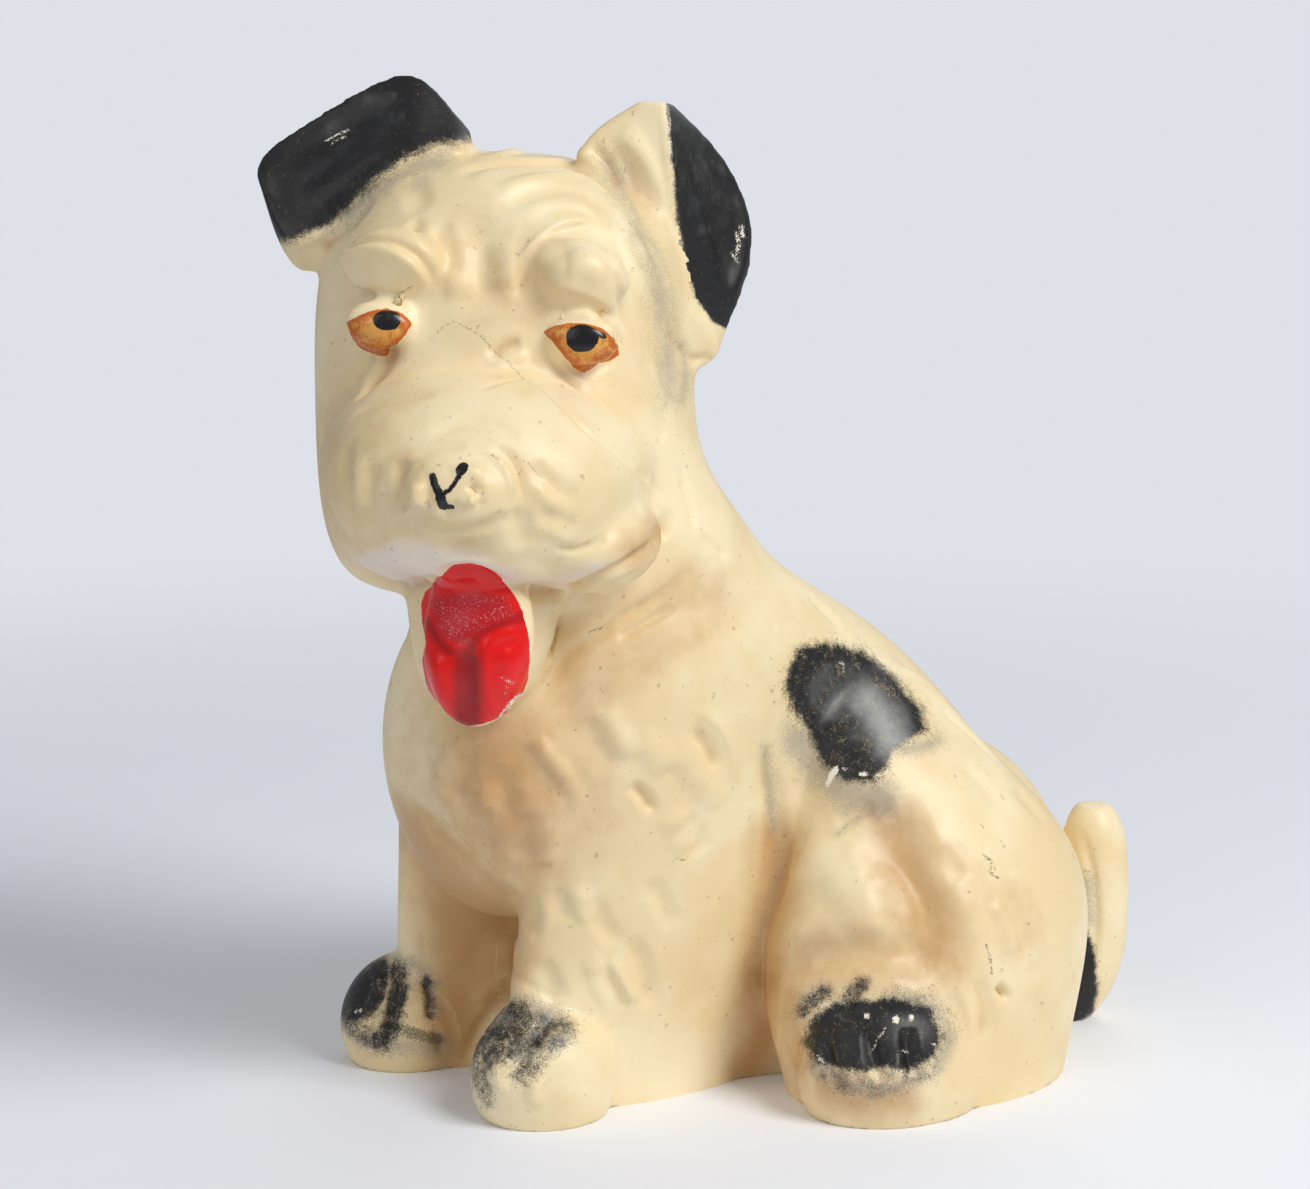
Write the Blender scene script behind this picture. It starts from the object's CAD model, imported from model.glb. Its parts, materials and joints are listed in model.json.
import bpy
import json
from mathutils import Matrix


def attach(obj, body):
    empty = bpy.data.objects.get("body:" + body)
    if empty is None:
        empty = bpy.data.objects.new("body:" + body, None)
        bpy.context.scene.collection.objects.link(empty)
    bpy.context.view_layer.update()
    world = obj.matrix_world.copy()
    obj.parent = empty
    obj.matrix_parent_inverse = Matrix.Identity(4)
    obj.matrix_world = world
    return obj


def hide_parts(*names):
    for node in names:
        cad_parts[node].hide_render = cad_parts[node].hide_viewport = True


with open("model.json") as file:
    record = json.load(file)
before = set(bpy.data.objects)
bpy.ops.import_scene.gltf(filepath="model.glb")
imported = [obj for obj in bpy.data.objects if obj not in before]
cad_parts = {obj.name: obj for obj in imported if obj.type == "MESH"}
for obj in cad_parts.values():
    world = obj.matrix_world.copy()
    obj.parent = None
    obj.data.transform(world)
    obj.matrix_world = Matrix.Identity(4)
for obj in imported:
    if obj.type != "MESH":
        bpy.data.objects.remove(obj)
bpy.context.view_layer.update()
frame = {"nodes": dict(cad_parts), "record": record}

"""A painted chalkware terrier, dressed over its packed casting.

The casting's pieces are copied and run together into one skin. The skin is modelled and painted, and is then
parted again into one shell for each piece. Lengths of the modelling are in millimetres, and places on the
skin that the photograph shows are pixels of its 1310 by 1189 picture.
"""

import json
import logging
import math
from dataclasses import dataclass, field, replace
from enum import Enum

import bmesh
import bpy
import numpy as np
from mathutils import Matrix, Vector
from mathutils.bvhtree import BVHTree

Pixels = tuple[tuple[float, float], ...]
Names = tuple[str, ...]
Colour = tuple[float, float, float]
Value = float | tuple | bpy.types.NodeSocket

MM = 0.001
OVAL_STEPS = 16
LINE_SPACING = 3.0
TINY = 1e-6
log = logging.getLogger("chalkware")


class Slot(Enum):
    """The record's material slots."""

    CREAM = "cream_plaster"
    BLACK = "black_paint"
    RED = "red_paint"
    EYE = "eye_paint"


class Profile(Enum):
    """How a mark of the modelling tool rises or falls across its width."""

    ROUND = "round"
    FOLD = "fold"


class Coat(Enum):
    """A coat of paint, kept on the skin as the distance in from the coat's edge, in millimetres."""

    AIRBRUSH = "airbrush"
    HAZE = "haze"
    TAN = "tan"
    THIN = "thin"
    PALE = "pale"
    AMBER = "amber"
    INK = "ink"
    RED = "red"
    DULL = "dull"
    DEEP = "deep"
    CHIP = "chip"
    GRIME = "grime"


@dataclass(frozen=True)
class Eyepoint:
    """The photograph's standing camera, aimed at a height on the figure's axis.

    Attributes:
        azimuth: the angle round the figure from its front, in degrees.
        elevation: the angle over the ground, in degrees.
        distance: how far it stands from its aim, in millimetres.
        focal_pixels: its focal length, in pixels.
        aim_height: the height that it looks at, in millimetres.
        picture_width: the picture's width, in pixels.
        picture_height: the picture's height, in pixels.
    """

    azimuth: float
    elevation: float
    distance: float = 750.0
    focal_pixels: float = 3112.5
    aim_height: float = 115.0
    picture_width: float = 1310.0
    picture_height: float = 1189.0

    def axes(self) -> tuple[np.ndarray, np.ndarray, np.ndarray, np.ndarray]:
        """Returns the camera's right, up and backward directions and its place."""
        azimuth = math.radians(self.azimuth)
        elevation = math.radians(self.elevation)
        back = np.array((
            math.sin(azimuth) * math.cos(elevation),
            -math.cos(azimuth) * math.cos(elevation),
            math.sin(elevation),
        ))
        right = np.array((math.cos(azimuth), math.sin(azimuth), 0.0))
        up = np.cross(back, right)
        return right, up, back, np.array((0.0, 0.0, self.aim_height)) + self.distance * back

    def project(self, points: np.ndarray) -> np.ndarray:
        """Finds where points of the figure lie in the picture.

        Args:
            points: rows of places, in millimetres.

        Returns:
            Rows of pixel coordinates.
        """
        right, up, back, place = self.axes()
        away = points - place
        depth = -(away @ back)
        across = away @ right / depth * self.focal_pixels + self.picture_width / 2
        down = self.picture_height / 2 - away @ up / depth * self.focal_pixels
        return np.stack((across, down), axis=1)

    def ray(self, pixel: tuple[float, float]) -> tuple[Vector, Vector]:
        """Returns the place and the direction of the ray through a pixel."""
        right, up, back, place = self.axes()
        across = (pixel[0] - self.picture_width / 2) / self.focal_pixels
        down = (pixel[1] - self.picture_height / 2) / self.focal_pixels
        return Vector(place), Vector(right * across - up * down - back).normalized()

    def stand(self) -> None:
        """Sets up the scene's camera at this place."""
        right, up, back, place = self.axes()
        data = bpy.data.cameras.new("camera")
        data.sensor_fit = "HORIZONTAL"
        data.lens = data.sensor_width * self.focal_pixels / self.picture_width
        camera = bpy.data.objects.new("camera", data)
        camera.location = Vector(place) * MM
        camera.rotation_euler = Vector(-back).to_track_quat("-Z", "Y").to_euler()
        bpy.context.scene.collection.objects.link(camera)
        bpy.context.scene.camera = camera


PHOTO = Eyepoint(azimuth=60.0, elevation=10.0)


@dataclass(frozen=True)
class Mark:
    """One pass of a modelling tool along a line of the picture.

    Attributes:
        pixels: the line, from one end to the other.
        width: the mark's full width, in millimetres.
        height: how far it rises, or falls where it is under 0, in millimetres.
        profile: ROUND for a groove or a ridge, FOLD for a step whose raised side is on the line's right hand.
        taper: the share of the length over which each end fades.
        twin: whether the other side of the figure has the same mark.
    """

    pixels: Pixels
    width: float
    height: float
    profile: Profile = Profile.ROUND
    taper: float = 0.3
    twin: bool = False


@dataclass(frozen=True)
class Patch:
    """A place where a coat of paint lies.

    Attributes:
        coat: which paint.
        pixels: the patch's outline, or the line of a brush where a radius is given.
        nodes: the pieces that it lies on.
        radius: half the brush's width, in pixels, or 0 for an outline.
        strength: the most that the coat may reach in, in millimetres.
        softness: how many times wider its edge is than that of a plain patch.
        through: whether the paint goes round to the side that faces away.
        twin: whether the other side of the figure has the same patch.
    """

    coat: Coat
    pixels: Pixels
    nodes: Names
    radius: float = 0.0
    strength: float = 9.0
    softness: float = 1.0
    through: bool = False
    twin: bool = False


def along(points: np.ndarray, spacing: float) -> np.ndarray:
    """Draws a smooth line through points.

    Args:
        points: rows of places that the line goes through.
        spacing: about how far apart the line's own points are.

    Returns:
        Rows of places on the line.
    """
    if len(points) == 1:
        return points
    ends = np.vstack((2 * points[0] - points[1], points, 2 * points[-1] - points[-2]))
    rows = []
    for before, start, stop, after in zip(ends, ends[1:], ends[2:], ends[3:]):
        count = max(2, int(np.linalg.norm(stop - start) / spacing) + 1)
        share = np.linspace(0.0, 1.0, count, endpoint=False)[:, None]
        bend = 2 * before - 5 * start + 4 * stop - after
        turn = 3 * (start - stop) + after - before
        rows.append(start + share * (stop - before + share * (bend + share * turn)) / 2)
    rows.append(points[-1:])
    return np.vstack(rows)


def depth_inside(places: np.ndarray, outline: np.ndarray) -> np.ndarray:
    """Measures how far places lie inside a closed outline.

    Args:
        places: rows of pixel coordinates.
        outline: rows of the outline's corners.

    Returns:
        Distances from the outline, under 0 outside it.
    """
    nearest = np.full(len(places), np.inf)
    inside = np.zeros(len(places), dtype=bool)
    for start, stop in zip(outline, np.roll(outline, -1, axis=0)):
        edge = stop - start
        reach = places - start
        share = np.clip(reach @ edge / max(edge @ edge, TINY), 0.0, 1.0)
        nearest = np.minimum(nearest, np.linalg.norm(reach - share[:, None] * edge, axis=1))
        crosses = (start[1] > places[:, 1]) != (stop[1] > places[:, 1])
        with np.errstate(divide="ignore", invalid="ignore"):
            at = start[0] + reach[:, 1] / edge[1] * edge[0]
        inside ^= crosses & (places[:, 0] < at)
    return np.where(inside, nearest, -nearest)


@dataclass
class Skin:
    """The figure's outer surface while it is modelled, with its points in millimetres.

    Attributes:
        voxel: the spacing of the skin's points.
        weld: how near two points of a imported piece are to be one.
        plug_radius: the radius of the plug that closes the pour hole while the skin is made.
        plug_height: the plug's height.
        plug_sides: how many sides the plug has.
        pull: how far a round of smoothing draws a point towards its neighbours' mean.
        push: how far a polishing round then drives it away, so that the forms keep their size.
        refresh: after how many rounds of filling the normals are read again.
        fillet_rounds: how many rounds of filling soften the creases between the forms.
        polish_rounds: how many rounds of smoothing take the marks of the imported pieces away.
        melt_rounds: how many rounds of smoothing melt a piece into what it stands on.
        step_width: how wide the face of a folded step is.
        step_fall: the power at which a folded step falls away to its raised side.
        facing_gain: how soon a mark takes hold where the skin turns to face the line's direction.
        settle_rounds: how many rounds of smoothing the marks get.
        near: how near the base a point is to stay in the flat base.
        turn: how far a place may turn away before paint thins there, as the cosine of its angle to the eye.
        turn_depth: how fast paint thins there, in millimetres for a cosine of 1.
        names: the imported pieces' names, in the order of their numbers.
    """

    voxel: float = 0.76
    weld: float = 0.001
    plug_radius: float = 15.0
    plug_height: float = 6.5
    plug_sides: int = 48
    pull: float = 0.5
    push: float = 0.52
    refresh: int = 10
    fillet_rounds: int = 60
    polish_rounds: int = 8
    melt_rounds: int = 140
    step_width: float = 1.5
    step_fall: float = 1.5
    facing_gain: float = 2.5
    settle_rounds: int = 1
    near: float = 0.4
    turn: float = -0.15
    turn_depth: float = 25.0
    names: list[str] = field(default_factory=list)

    def build(self, nodes: dict[str, bpy.types.Object]) -> None:
        """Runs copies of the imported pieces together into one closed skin.

        Args:
            nodes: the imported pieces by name, which stay as they are.
        """
        self.names = sorted(nodes)
        joined = bmesh.new()
        for name in self.names:
            start = len(joined.verts)
            joined.from_mesh(nodes[name].data)
            joined.verts.ensure_lookup_table()
            bmesh.ops.remove_doubles(joined, verts=joined.verts[start:], dist=self.weld * MM)
            joined.verts.index_update()
        self._remember_pieces(nodes)
        bmesh.ops.create_cone(
            joined, cap_ends=True, segments=self.plug_sides, radius1=self.plug_radius * MM,
            radius2=self.plug_radius * MM, depth=self.plug_height * MM, matrix=self._plug_place(),
        )
        mesh = bpy.data.meshes.new("forms")
        joined.to_mesh(mesh)
        joined.free()
        forms = bpy.data.objects.new("forms", mesh)
        bpy.context.scene.collection.objects.link(forms)
        remesh = forms.modifiers.new("remesh", "REMESH")
        remesh.mode = "VOXEL"
        remesh.voxel_size = self.voxel * MM
        remesh.use_smooth_shade = True
        graph = bpy.context.evaluated_depsgraph_get()
        self.mesh = bpy.data.meshes.new_from_object(forms.evaluated_get(graph))
        bpy.data.objects.remove(forms)
        self._keep_outside()
        self._read()
        log.info("skin: %d points, %d faces", len(self.mesh.vertices), len(self.mesh.polygons))

    def _plug_place(self) -> Matrix:
        """Returns where the plug of the pour hole stands."""
        return Matrix.Translation((0.0, 0.0, self.plug_height * MM / 2))

    def _remember_pieces(self, nodes: dict[str, bpy.types.Object]) -> None:
        """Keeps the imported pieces' faces, to tell later which piece a place of the skin belongs to."""
        corners, faces, owners = [], [], []
        for number, name in enumerate(self.names):
            mesh = nodes[name].data
            first = len(corners)
            corners.extend(Vector(vertex.co) / MM for vertex in mesh.vertices)
            faces.extend(tuple(first + index for index in face.vertices) for face in mesh.polygons)
            owners.extend([number] * len(mesh.polygons))
        self.pieces_tree = BVHTree.FromPolygons(corners, faces)
        self.owners = owners

    def _keep_outside(self) -> None:
        """Takes away all that isn't joined to the skin's highest point, such as the inside of the hollow."""
        work = bmesh.new()
        work.from_mesh(self.mesh)
        seen = {max(work.verts, key=lambda vertex: vertex.co.z)}
        front = list(seen)
        while front:
            vertex = front.pop()
            for edge in vertex.link_edges:
                other = edge.other_vert(vertex)
                if other not in seen:
                    seen.add(other)
                    front.append(other)
        bmesh.ops.delete(work, geom=[vertex for vertex in work.verts if vertex not in seen], context="VERTS")
        work.to_mesh(self.mesh)
        work.free()

    def _read(self) -> None:
        """Reads the skin's points, edges and faces, and each face's and point's piece."""
        mesh = self.mesh
        self.points = np.empty(len(mesh.vertices) * 3)
        mesh.vertices.foreach_get("co", self.points)
        self.points = self.points.reshape(-1, 3) / MM
        self.edges = np.empty(len(mesh.edges) * 2, dtype=np.int64)
        mesh.edges.foreach_get("vertices", self.edges)
        self.edges = self.edges.reshape(-1, 2)
        self.valence = np.bincount(self.edges.ravel(), minlength=len(self.points)).astype(float)
        self.base = self.points[:, 2] < self.near
        self.points[self.base, 2] = 0.0
        centres = np.empty(len(mesh.polygons) * 3)
        mesh.polygons.foreach_get("center", centres)
        self.face_piece = np.array([self._piece_at(centre) for centre in centres.reshape(-1, 3) / MM])
        corner_points = np.empty(len(mesh.loops), dtype=np.int64)
        mesh.loops.foreach_get("vertex_index", corner_points)
        totals = np.empty(len(mesh.polygons), dtype=np.int64)
        mesh.polygons.foreach_get("loop_total", totals)
        self.point_piece = np.zeros(len(self.points), dtype=np.int64)
        self.point_piece[corner_points] = np.repeat(self.face_piece, totals)

    def _piece_at(self, place: np.ndarray) -> int:
        """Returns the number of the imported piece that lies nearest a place."""
        return self.owners[self.pieces_tree.find_nearest(Vector(place))[2]]

    def neighbours_mean(self, values: np.ndarray) -> np.ndarray:
        """Returns, for each point, the mean of its neighbours' values."""
        first, second = self.edges.T
        columns = [
            np.bincount(first, column[second], len(column)) + np.bincount(second, column[first], len(column))
            for column in values.reshape(len(values), -1).T
        ]
        return (np.stack(columns, axis=1) / self.valence[:, None]).reshape(values.shape)

    def blurred(self, values: np.ndarray, rounds: int) -> np.ndarray:
        """Returns values of the points with each drawn towards its neighbours' mean, round after round."""
        for _ in range(rounds):
            values = (values + self.neighbours_mean(values)) / 2
        return values

    def keep(self, name: str, values: np.ndarray) -> None:
        """Keeps one value for each point with the mesh."""
        attribute = self.mesh.attributes.new(name, "FLOAT", "POINT")
        attribute.data.foreach_set("value", values.astype(np.float32))

    def settle(self) -> None:
        """Rounds the marks a little, as a coat of slip does, and puts them into the mesh."""
        marked = self.points - self.still_points
        self.points = self.still_points + self.blurred(marked, self.settle_rounds)
        self.write()

    def write(self) -> None:
        """Puts the points into the mesh and reads the normals back."""
        self.points[self.base, 2] = 0.0
        self.points[:, 2] = np.maximum(self.points[:, 2], 0.0)
        self.mesh.vertices.foreach_set("co", (self.points * MM).astype(np.float32).ravel())
        self.mesh.update()
        normals = np.empty(len(self.points) * 3, dtype=np.float32)
        self.mesh.vertex_normals.foreach_get("vector", normals)
        self.normals = normals.reshape(-1, 3).astype(float)

    def shares(self, pieces: dict[str, float], rounds: int) -> np.ndarray:
        """Gives each point its piece's share of something, blurred where pieces meet.

        Args:
            pieces: the pieces' shares by name.
            rounds: how many rounds of smoothing blur them.

        Returns:
            One share for each point.
        """
        values = np.zeros(len(self.points))
        for name, share in pieces.items():
            values[self.point_piece == self.names.index(name)] = share
        return self.blurred(values, rounds)

    def soften(self, crisp: np.ndarray, melted: np.ndarray) -> None:
        """Smooths the skin all over and fills its creases, as wet plaster rounds them in a mould.

        Args:
            crisp: for each point, the share of the softening that it is spared.
            melted: for each point, how much it runs into what it stands on.
        """
        soft = (1.0 - crisp)[:, None]
        self.write()
        for _ in range(self.polish_rounds):
            self.points += self.pull * soft * (self.neighbours_mean(self.points) - self.points)
            self.points -= self.push * soft * (self.neighbours_mean(self.points) - self.points)
        self.write()
        for round_number in range(self.fillet_rounds):
            pull = self.neighbours_mean(self.points) - self.points
            rise = np.maximum(np.einsum("ij,ij->i", pull, self.normals), 0.0)[:, None]
            self.points += self.pull * soft * rise * self.normals
            if (round_number + 1) % self.refresh == 0:
                self.write()
        for _ in range(self.melt_rounds):
            self.points += self.pull * melted[:, None] * (self.neighbours_mean(self.points) - self.points)
        for _ in range(self.polish_rounds // 2):
            self.points += self.pull * soft * (self.neighbours_mean(self.points) - self.points)
        self.write()
        self._plant_tree()

    def _plant_tree(self) -> None:
        """Prepares the finding of places on the skin as it is now, before its marks."""
        corners = [Vector(point) for point in self.points]
        faces = [tuple(face.vertices) for face in self.mesh.polygons]
        self.tree = BVHTree.FromPolygons(corners, faces)
        self.still_points = self.points.copy()
        self.still_normals = self.normals.copy()

    def line_on_skin(self, mark: Mark) -> tuple[np.ndarray, np.ndarray]:
        """Lays a mark's line on the skin.

        Args:
            mark: the mark, whose line is in pixels.

        Returns:
            Rows of places on the skin and of the skin's directions there, in order along the line.
        """
        places, directions = [], []
        for pixel in along(np.array(mark.pixels, dtype=float), LINE_SPACING):
            start, heading = PHOTO.ray(pixel)
            place, direction, _, _ = self.tree.ray_cast(start, heading)
            if place is not None:
                places.append(place)
                directions.append(direction)
        return np.array(places), np.array(directions)

    def press(self, mark: Mark) -> None:
        """Presses a mark into the skin, or raises it there.

        Args:
            mark: the mark, with its line, width and height.
        """
        places, directions = self.line_on_skin(mark)
        if not len(places):
            log.warning("a mark at %s misses the figure", mark.pixels[0])
            return
        self._press_line(mark, places, directions)
        if mark.twin:
            flip = np.array((-1.0, 1.0, 1.0))
            found = [self.tree.find_nearest(Vector(place * flip)) for place in places]
            places, directions = (np.array([hit[part] for hit in found]) for part in range(2))
            self._press_line(mark, places, directions, turned=-1.0)

    def _press_line(
        self, mark: Mark, places: np.ndarray, directions: np.ndarray, turned: float = 1.0,
    ) -> None:
        """Moves the points near a line that lies on the skin.

        Args:
            mark: the mark.
            places: rows of the line's places.
            directions: rows of the skin's directions there.
            turned: 1 for a line as drawn, or -1 for its twin, whose sides are swapped.
        """
        reach = mark.width / 2
        low, high = places.min(axis=0) - reach, places.max(axis=0) + reach
        near = np.nonzero(np.all((self.still_points > low) & (self.still_points < high), axis=1))[0]
        if not len(near):
            return
        length = np.concatenate(([0.0], np.cumsum(np.linalg.norm(np.diff(places, axis=0), axis=1))))
        share = length / max(length[-1], TINY)
        fade = np.ones(len(places))
        if len(places) > 1:
            fade = np.clip(np.minimum(share, 1 - share) / mark.taper, 0.0, 1.0)
            fade = fade * (2 - fade)
        heading = np.gradient(places, axis=0) if len(places) > 1 else np.zeros((1, 3))
        best = np.full(len(near), np.inf)
        closest = np.zeros(len(near), dtype=np.int64)
        for number, place in enumerate(places):
            gap = np.linalg.norm(self.still_points[near] - place, axis=1)
            closer = gap < best
            best[closer] = gap[closer]
            closest[closer] = number
        inside = best < reach
        near, best, closest = near[inside], best[inside], closest[inside]
        faces_it = np.einsum("ij,ij->i", self.still_normals[near], directions[closest])
        effect = (1 - (best / reach) ** 2) ** 2
        if mark.profile is Profile.FOLD:
            across = np.cross(heading[closest], directions[closest])
            across /= np.maximum(np.linalg.norm(across, axis=1), TINY)[:, None]
            side = turned * np.einsum("ij,ij->i", self.still_points[near] - places[closest], across)
            effect = (1 - best / reach) ** self.step_fall * np.clip(side / self.step_width, 0.0, 1.0)
        amount = mark.height * effect * fade[closest] * np.clip(faces_it * self.facing_gain, 0.0, 1.0)
        self.points[near] += amount[:, None] * self.still_normals[near]

    def lay(self, patch: Patch, coats: dict[Coat, np.ndarray]) -> None:
        """Lays a patch of paint on the skin.

        Args:
            patch: the patch, with its outline or brush line.
            coats: for each coat, how far in from its edge each point lies, which this call adds to.
        """
        chosen = np.isin(self.point_piece, [self.names.index(name) for name in patch.nodes])
        numbers = np.nonzero(chosen)[0]
        scale = PHOTO.distance / PHOTO.focal_pixels / patch.softness
        eye_place = PHOTO.axes()[3]
        for flip in (1.0, -1.0) if patch.twin else (1.0,):
            places = self.still_points[numbers] * (flip, 1.0, 1.0)
            inside = self._pixels_inside(patch, PHOTO.project(places)) * scale
            if not patch.through:
                away = eye_place - places
                away /= np.linalg.norm(away, axis=1)[:, None]
                facing = np.einsum("ij,ij->i", away, self.still_normals[numbers] * (flip, 1.0, 1.0))
                inside = np.minimum(inside, (facing - self.turn) * self.turn_depth)
            inside = np.minimum(inside, patch.strength)
            coats[patch.coat][numbers] = np.maximum(coats[patch.coat][numbers], inside)

    @staticmethod
    def _pixels_inside(patch: Patch, seen: np.ndarray) -> np.ndarray:
        """Returns how many pixels inside a patch's outline, or its brush's stroke, each place lies."""
        outline = np.array(patch.pixels, dtype=float)
        if patch.radius == 0:
            return depth_inside(seen, outline)
        gap = np.full(len(seen), np.inf)
        for place in along(outline, LINE_SPACING):
            gap = np.minimum(gap, np.linalg.norm(seen - place, axis=1))
        return patch.radius - gap


def groove(width: float, depth: float, *pixels: tuple[float, float]) -> Mark:
    """Returns a rounded groove along a line of the picture, with its width and depth in millimetres."""
    return Mark(pixels, width, -depth)


def ridge(width: float, height: float, *pixels: tuple[float, float]) -> Mark:
    """Returns a rounded ridge along a line of the picture, with its width and height in millimetres."""
    return Mark(pixels, width, height)


def fold(width: float, height: float, *pixels: tuple[float, float]) -> Mark:
    """Returns a step along a line of the picture, which is raised on the line's right hand."""
    return Mark(pixels, width, height, profile=Profile.FOLD)


def both_sides(passes: list[Mark] | list[Patch]) -> list[Mark] | list[Patch]:
    """Returns marks or patches with a twin each on the figure's other side."""
    return [replace(one, twin=True) for one in passes]


def brush(
    coat: Coat, nodes: Names, radius: float, *pixels: tuple[float, float], **settings: float | bool,
) -> Patch:
    """Returns a brush's stroke along a line of the picture, with the brush's radius in pixels."""
    return Patch(coat, pixels, nodes, radius=radius, **settings)


def area(coat: Coat, nodes: Names, *pixels: tuple[float, float], **settings: float | bool) -> Patch:
    """Returns a patch of paint inside an outline in the picture."""
    return Patch(coat, pixels, nodes, **settings)


def oval(middle: tuple[float, float], width: float, height: float) -> Pixels:
    """Returns the outline of an upright oval in the picture.

    Args:
        middle: the oval's middle.
        width: its full width, in pixels.
        height: its full height, in pixels.

    Returns:
        The outline's points.
    """
    turns = [2 * math.pi * step / OVAL_STEPS for step in range(OVAL_STEPS)]
    across, down = middle
    return tuple(
        (across + width / 2 * math.cos(turn), down + height / 2 * math.sin(turn)) for turn in turns
    )


@dataclass
class Form:
    """A sub-assembly of the figure, which knows its own marks and patches."""

    def marks(self) -> list[Mark]:
        """Returns the modelling tool's passes over this sub-assembly."""
        return []

    def patches(self) -> list[Patch]:
        """Returns the patches of paint on this sub-assembly."""
        return []


@dataclass
class Forehead(Form):
    """The skull with its brows: furrows, folds and the hair behind the temples."""

    furrow_width: float = 7.0
    furrow_depth: float = 1.1
    hair_width: float = 5.0
    hair_depth: float = 0.8

    def marks(self) -> list[Mark]:
        """Returns the brows' folds, the forehead's furrows and the temple's hair."""
        return self._furrows() + self._left_brow() + self._right_brow() + self._temple()

    def _furrows(self) -> list[Mark]:
        """Returns the furrows across the forehead and the ridges between them."""
        furrow = (self.furrow_width, self.furrow_depth)
        return [
            groove(*furrow, (456, 182), (476, 168), (500, 164), (530, 163), (565, 164), (597, 176),
                   (620, 196), (634, 222)),
            groove(*furrow, (500, 212), (516, 199), (540, 191), (574, 190), (602, 206), (622, 232)),
            ridge(7.0, 1.0, (470, 160), (520, 152), (558, 151), (598, 160), (626, 182)),
            ridge(6.0, 0.9, (500, 192), (516, 183), (545, 177), (578, 177), (606, 190)),
            ridge(6.0, 0.7, (520, 218), (545, 205), (575, 203), (600, 216)),
        ]

    def _left_brow(self) -> list[Mark]:
        """Returns the left brow's folds and the groove between the brows."""
        return [
            fold(14.0, 1.9, (594, 224), (568, 229), (547, 239), (531, 255), (520, 275), (516, 300)),
            groove(13.0, 1.7, (523, 302), (529, 280), (540, 262), (558, 248), (578, 240)),
            fold(9.0, 1.3, (610, 334), (603, 310), (581, 297), (556, 291), (536, 292)),
            ridge(11.0, 0.9, (566, 262), (588, 262), (608, 280)),
            groove(15.0, 1.9, (484, 214), (480, 240), (479, 265), (482, 290), (488, 314)),
            ridge(10.0, 1.2, (463, 236), (459, 268), (462, 300)),
            ridge(9.0, 1.0, (503, 240), (503, 262), (505, 290)),
        ]

    def _right_brow(self) -> list[Mark]:
        """Returns the right brow's folds and the creases over it."""
        return [
            fold(12.0, 1.8, (340, 262), (346, 250), (366, 241), (392, 243), (414, 256), (427, 272),
                 (431, 288)),
            groove(4.0, 1.2, (346, 249), (366, 240), (392, 242), (415, 255), (429, 272), (434, 290)),
            groove(6.0, 1.2, (352, 300), (376, 295), (402, 301)),
            groove(9.0, 0.9, (408, 176), (416, 192), (421, 213)),
            groove(6.0, 1.3, (408, 222), (424, 233), (438, 248)),
            groove(7.0, 1.2, (437, 222), (447, 246), (452, 276)),
        ]

    def _temple(self) -> list[Mark]:
        """Returns the hair behind the left eye and the crease at the ear's tip."""
        hair = (self.hair_width, self.hair_depth)
        return [
            groove(*hair, (610, 232), (624, 262), (636, 296), (646, 336), (650, 378)),
            groove(*hair, (634, 246), (650, 276), (661, 308), (665, 344)),
            groove(*hair, (594, 236), (612, 270), (622, 306), (630, 346), (634, 380)),
            groove(*hair, (626, 206), (644, 236), (660, 270)),
            groove(*hair, (640, 360), (652, 388), (660, 418), (664, 444)),
            groove(*hair, (655, 352), (666, 380), (672, 410)),
            groove(4.0, 1.4, (668, 320), (676, 342), (690, 350)),
        ]

    def patches(self) -> list[Patch]:
        """Returns the grey mist that the airbrush left beside the ears, and the tan in the folds."""
        head = ("head", "left_brow", "right_brow", "muzzle", "body_casting", "left_ear", "right_ear")
        return [
            brush(Coat.HAZE, head, 8.0, (606, 160), (622, 184), (636, 212), (646, 242), softness=2.4),
            brush(Coat.HAZE, head, 9.0, (650, 250), (660, 286), (666, 326), (668, 366), (672, 396),
                  softness=1.9),
            brush(Coat.HAZE, head, 5.0, (682, 348), (684, 375), (681, 398), softness=1.3),
            brush(Coat.HAZE, head, 10.0, (350, 214), (376, 192), (405, 170), (440, 156), softness=2.2),
            brush(Coat.TAN, head, 9.0, (526, 292), (532, 272), (542, 258), softness=1.8, strength=-2.6),
            brush(Coat.TAN, head, 9.0, (482, 226), (479, 262), (483, 292), softness=1.8, strength=-3.0),
            brush(Coat.GRIME, head, 1.2, (400, 296), (404, 291), (412, 287)),
        ]


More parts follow.
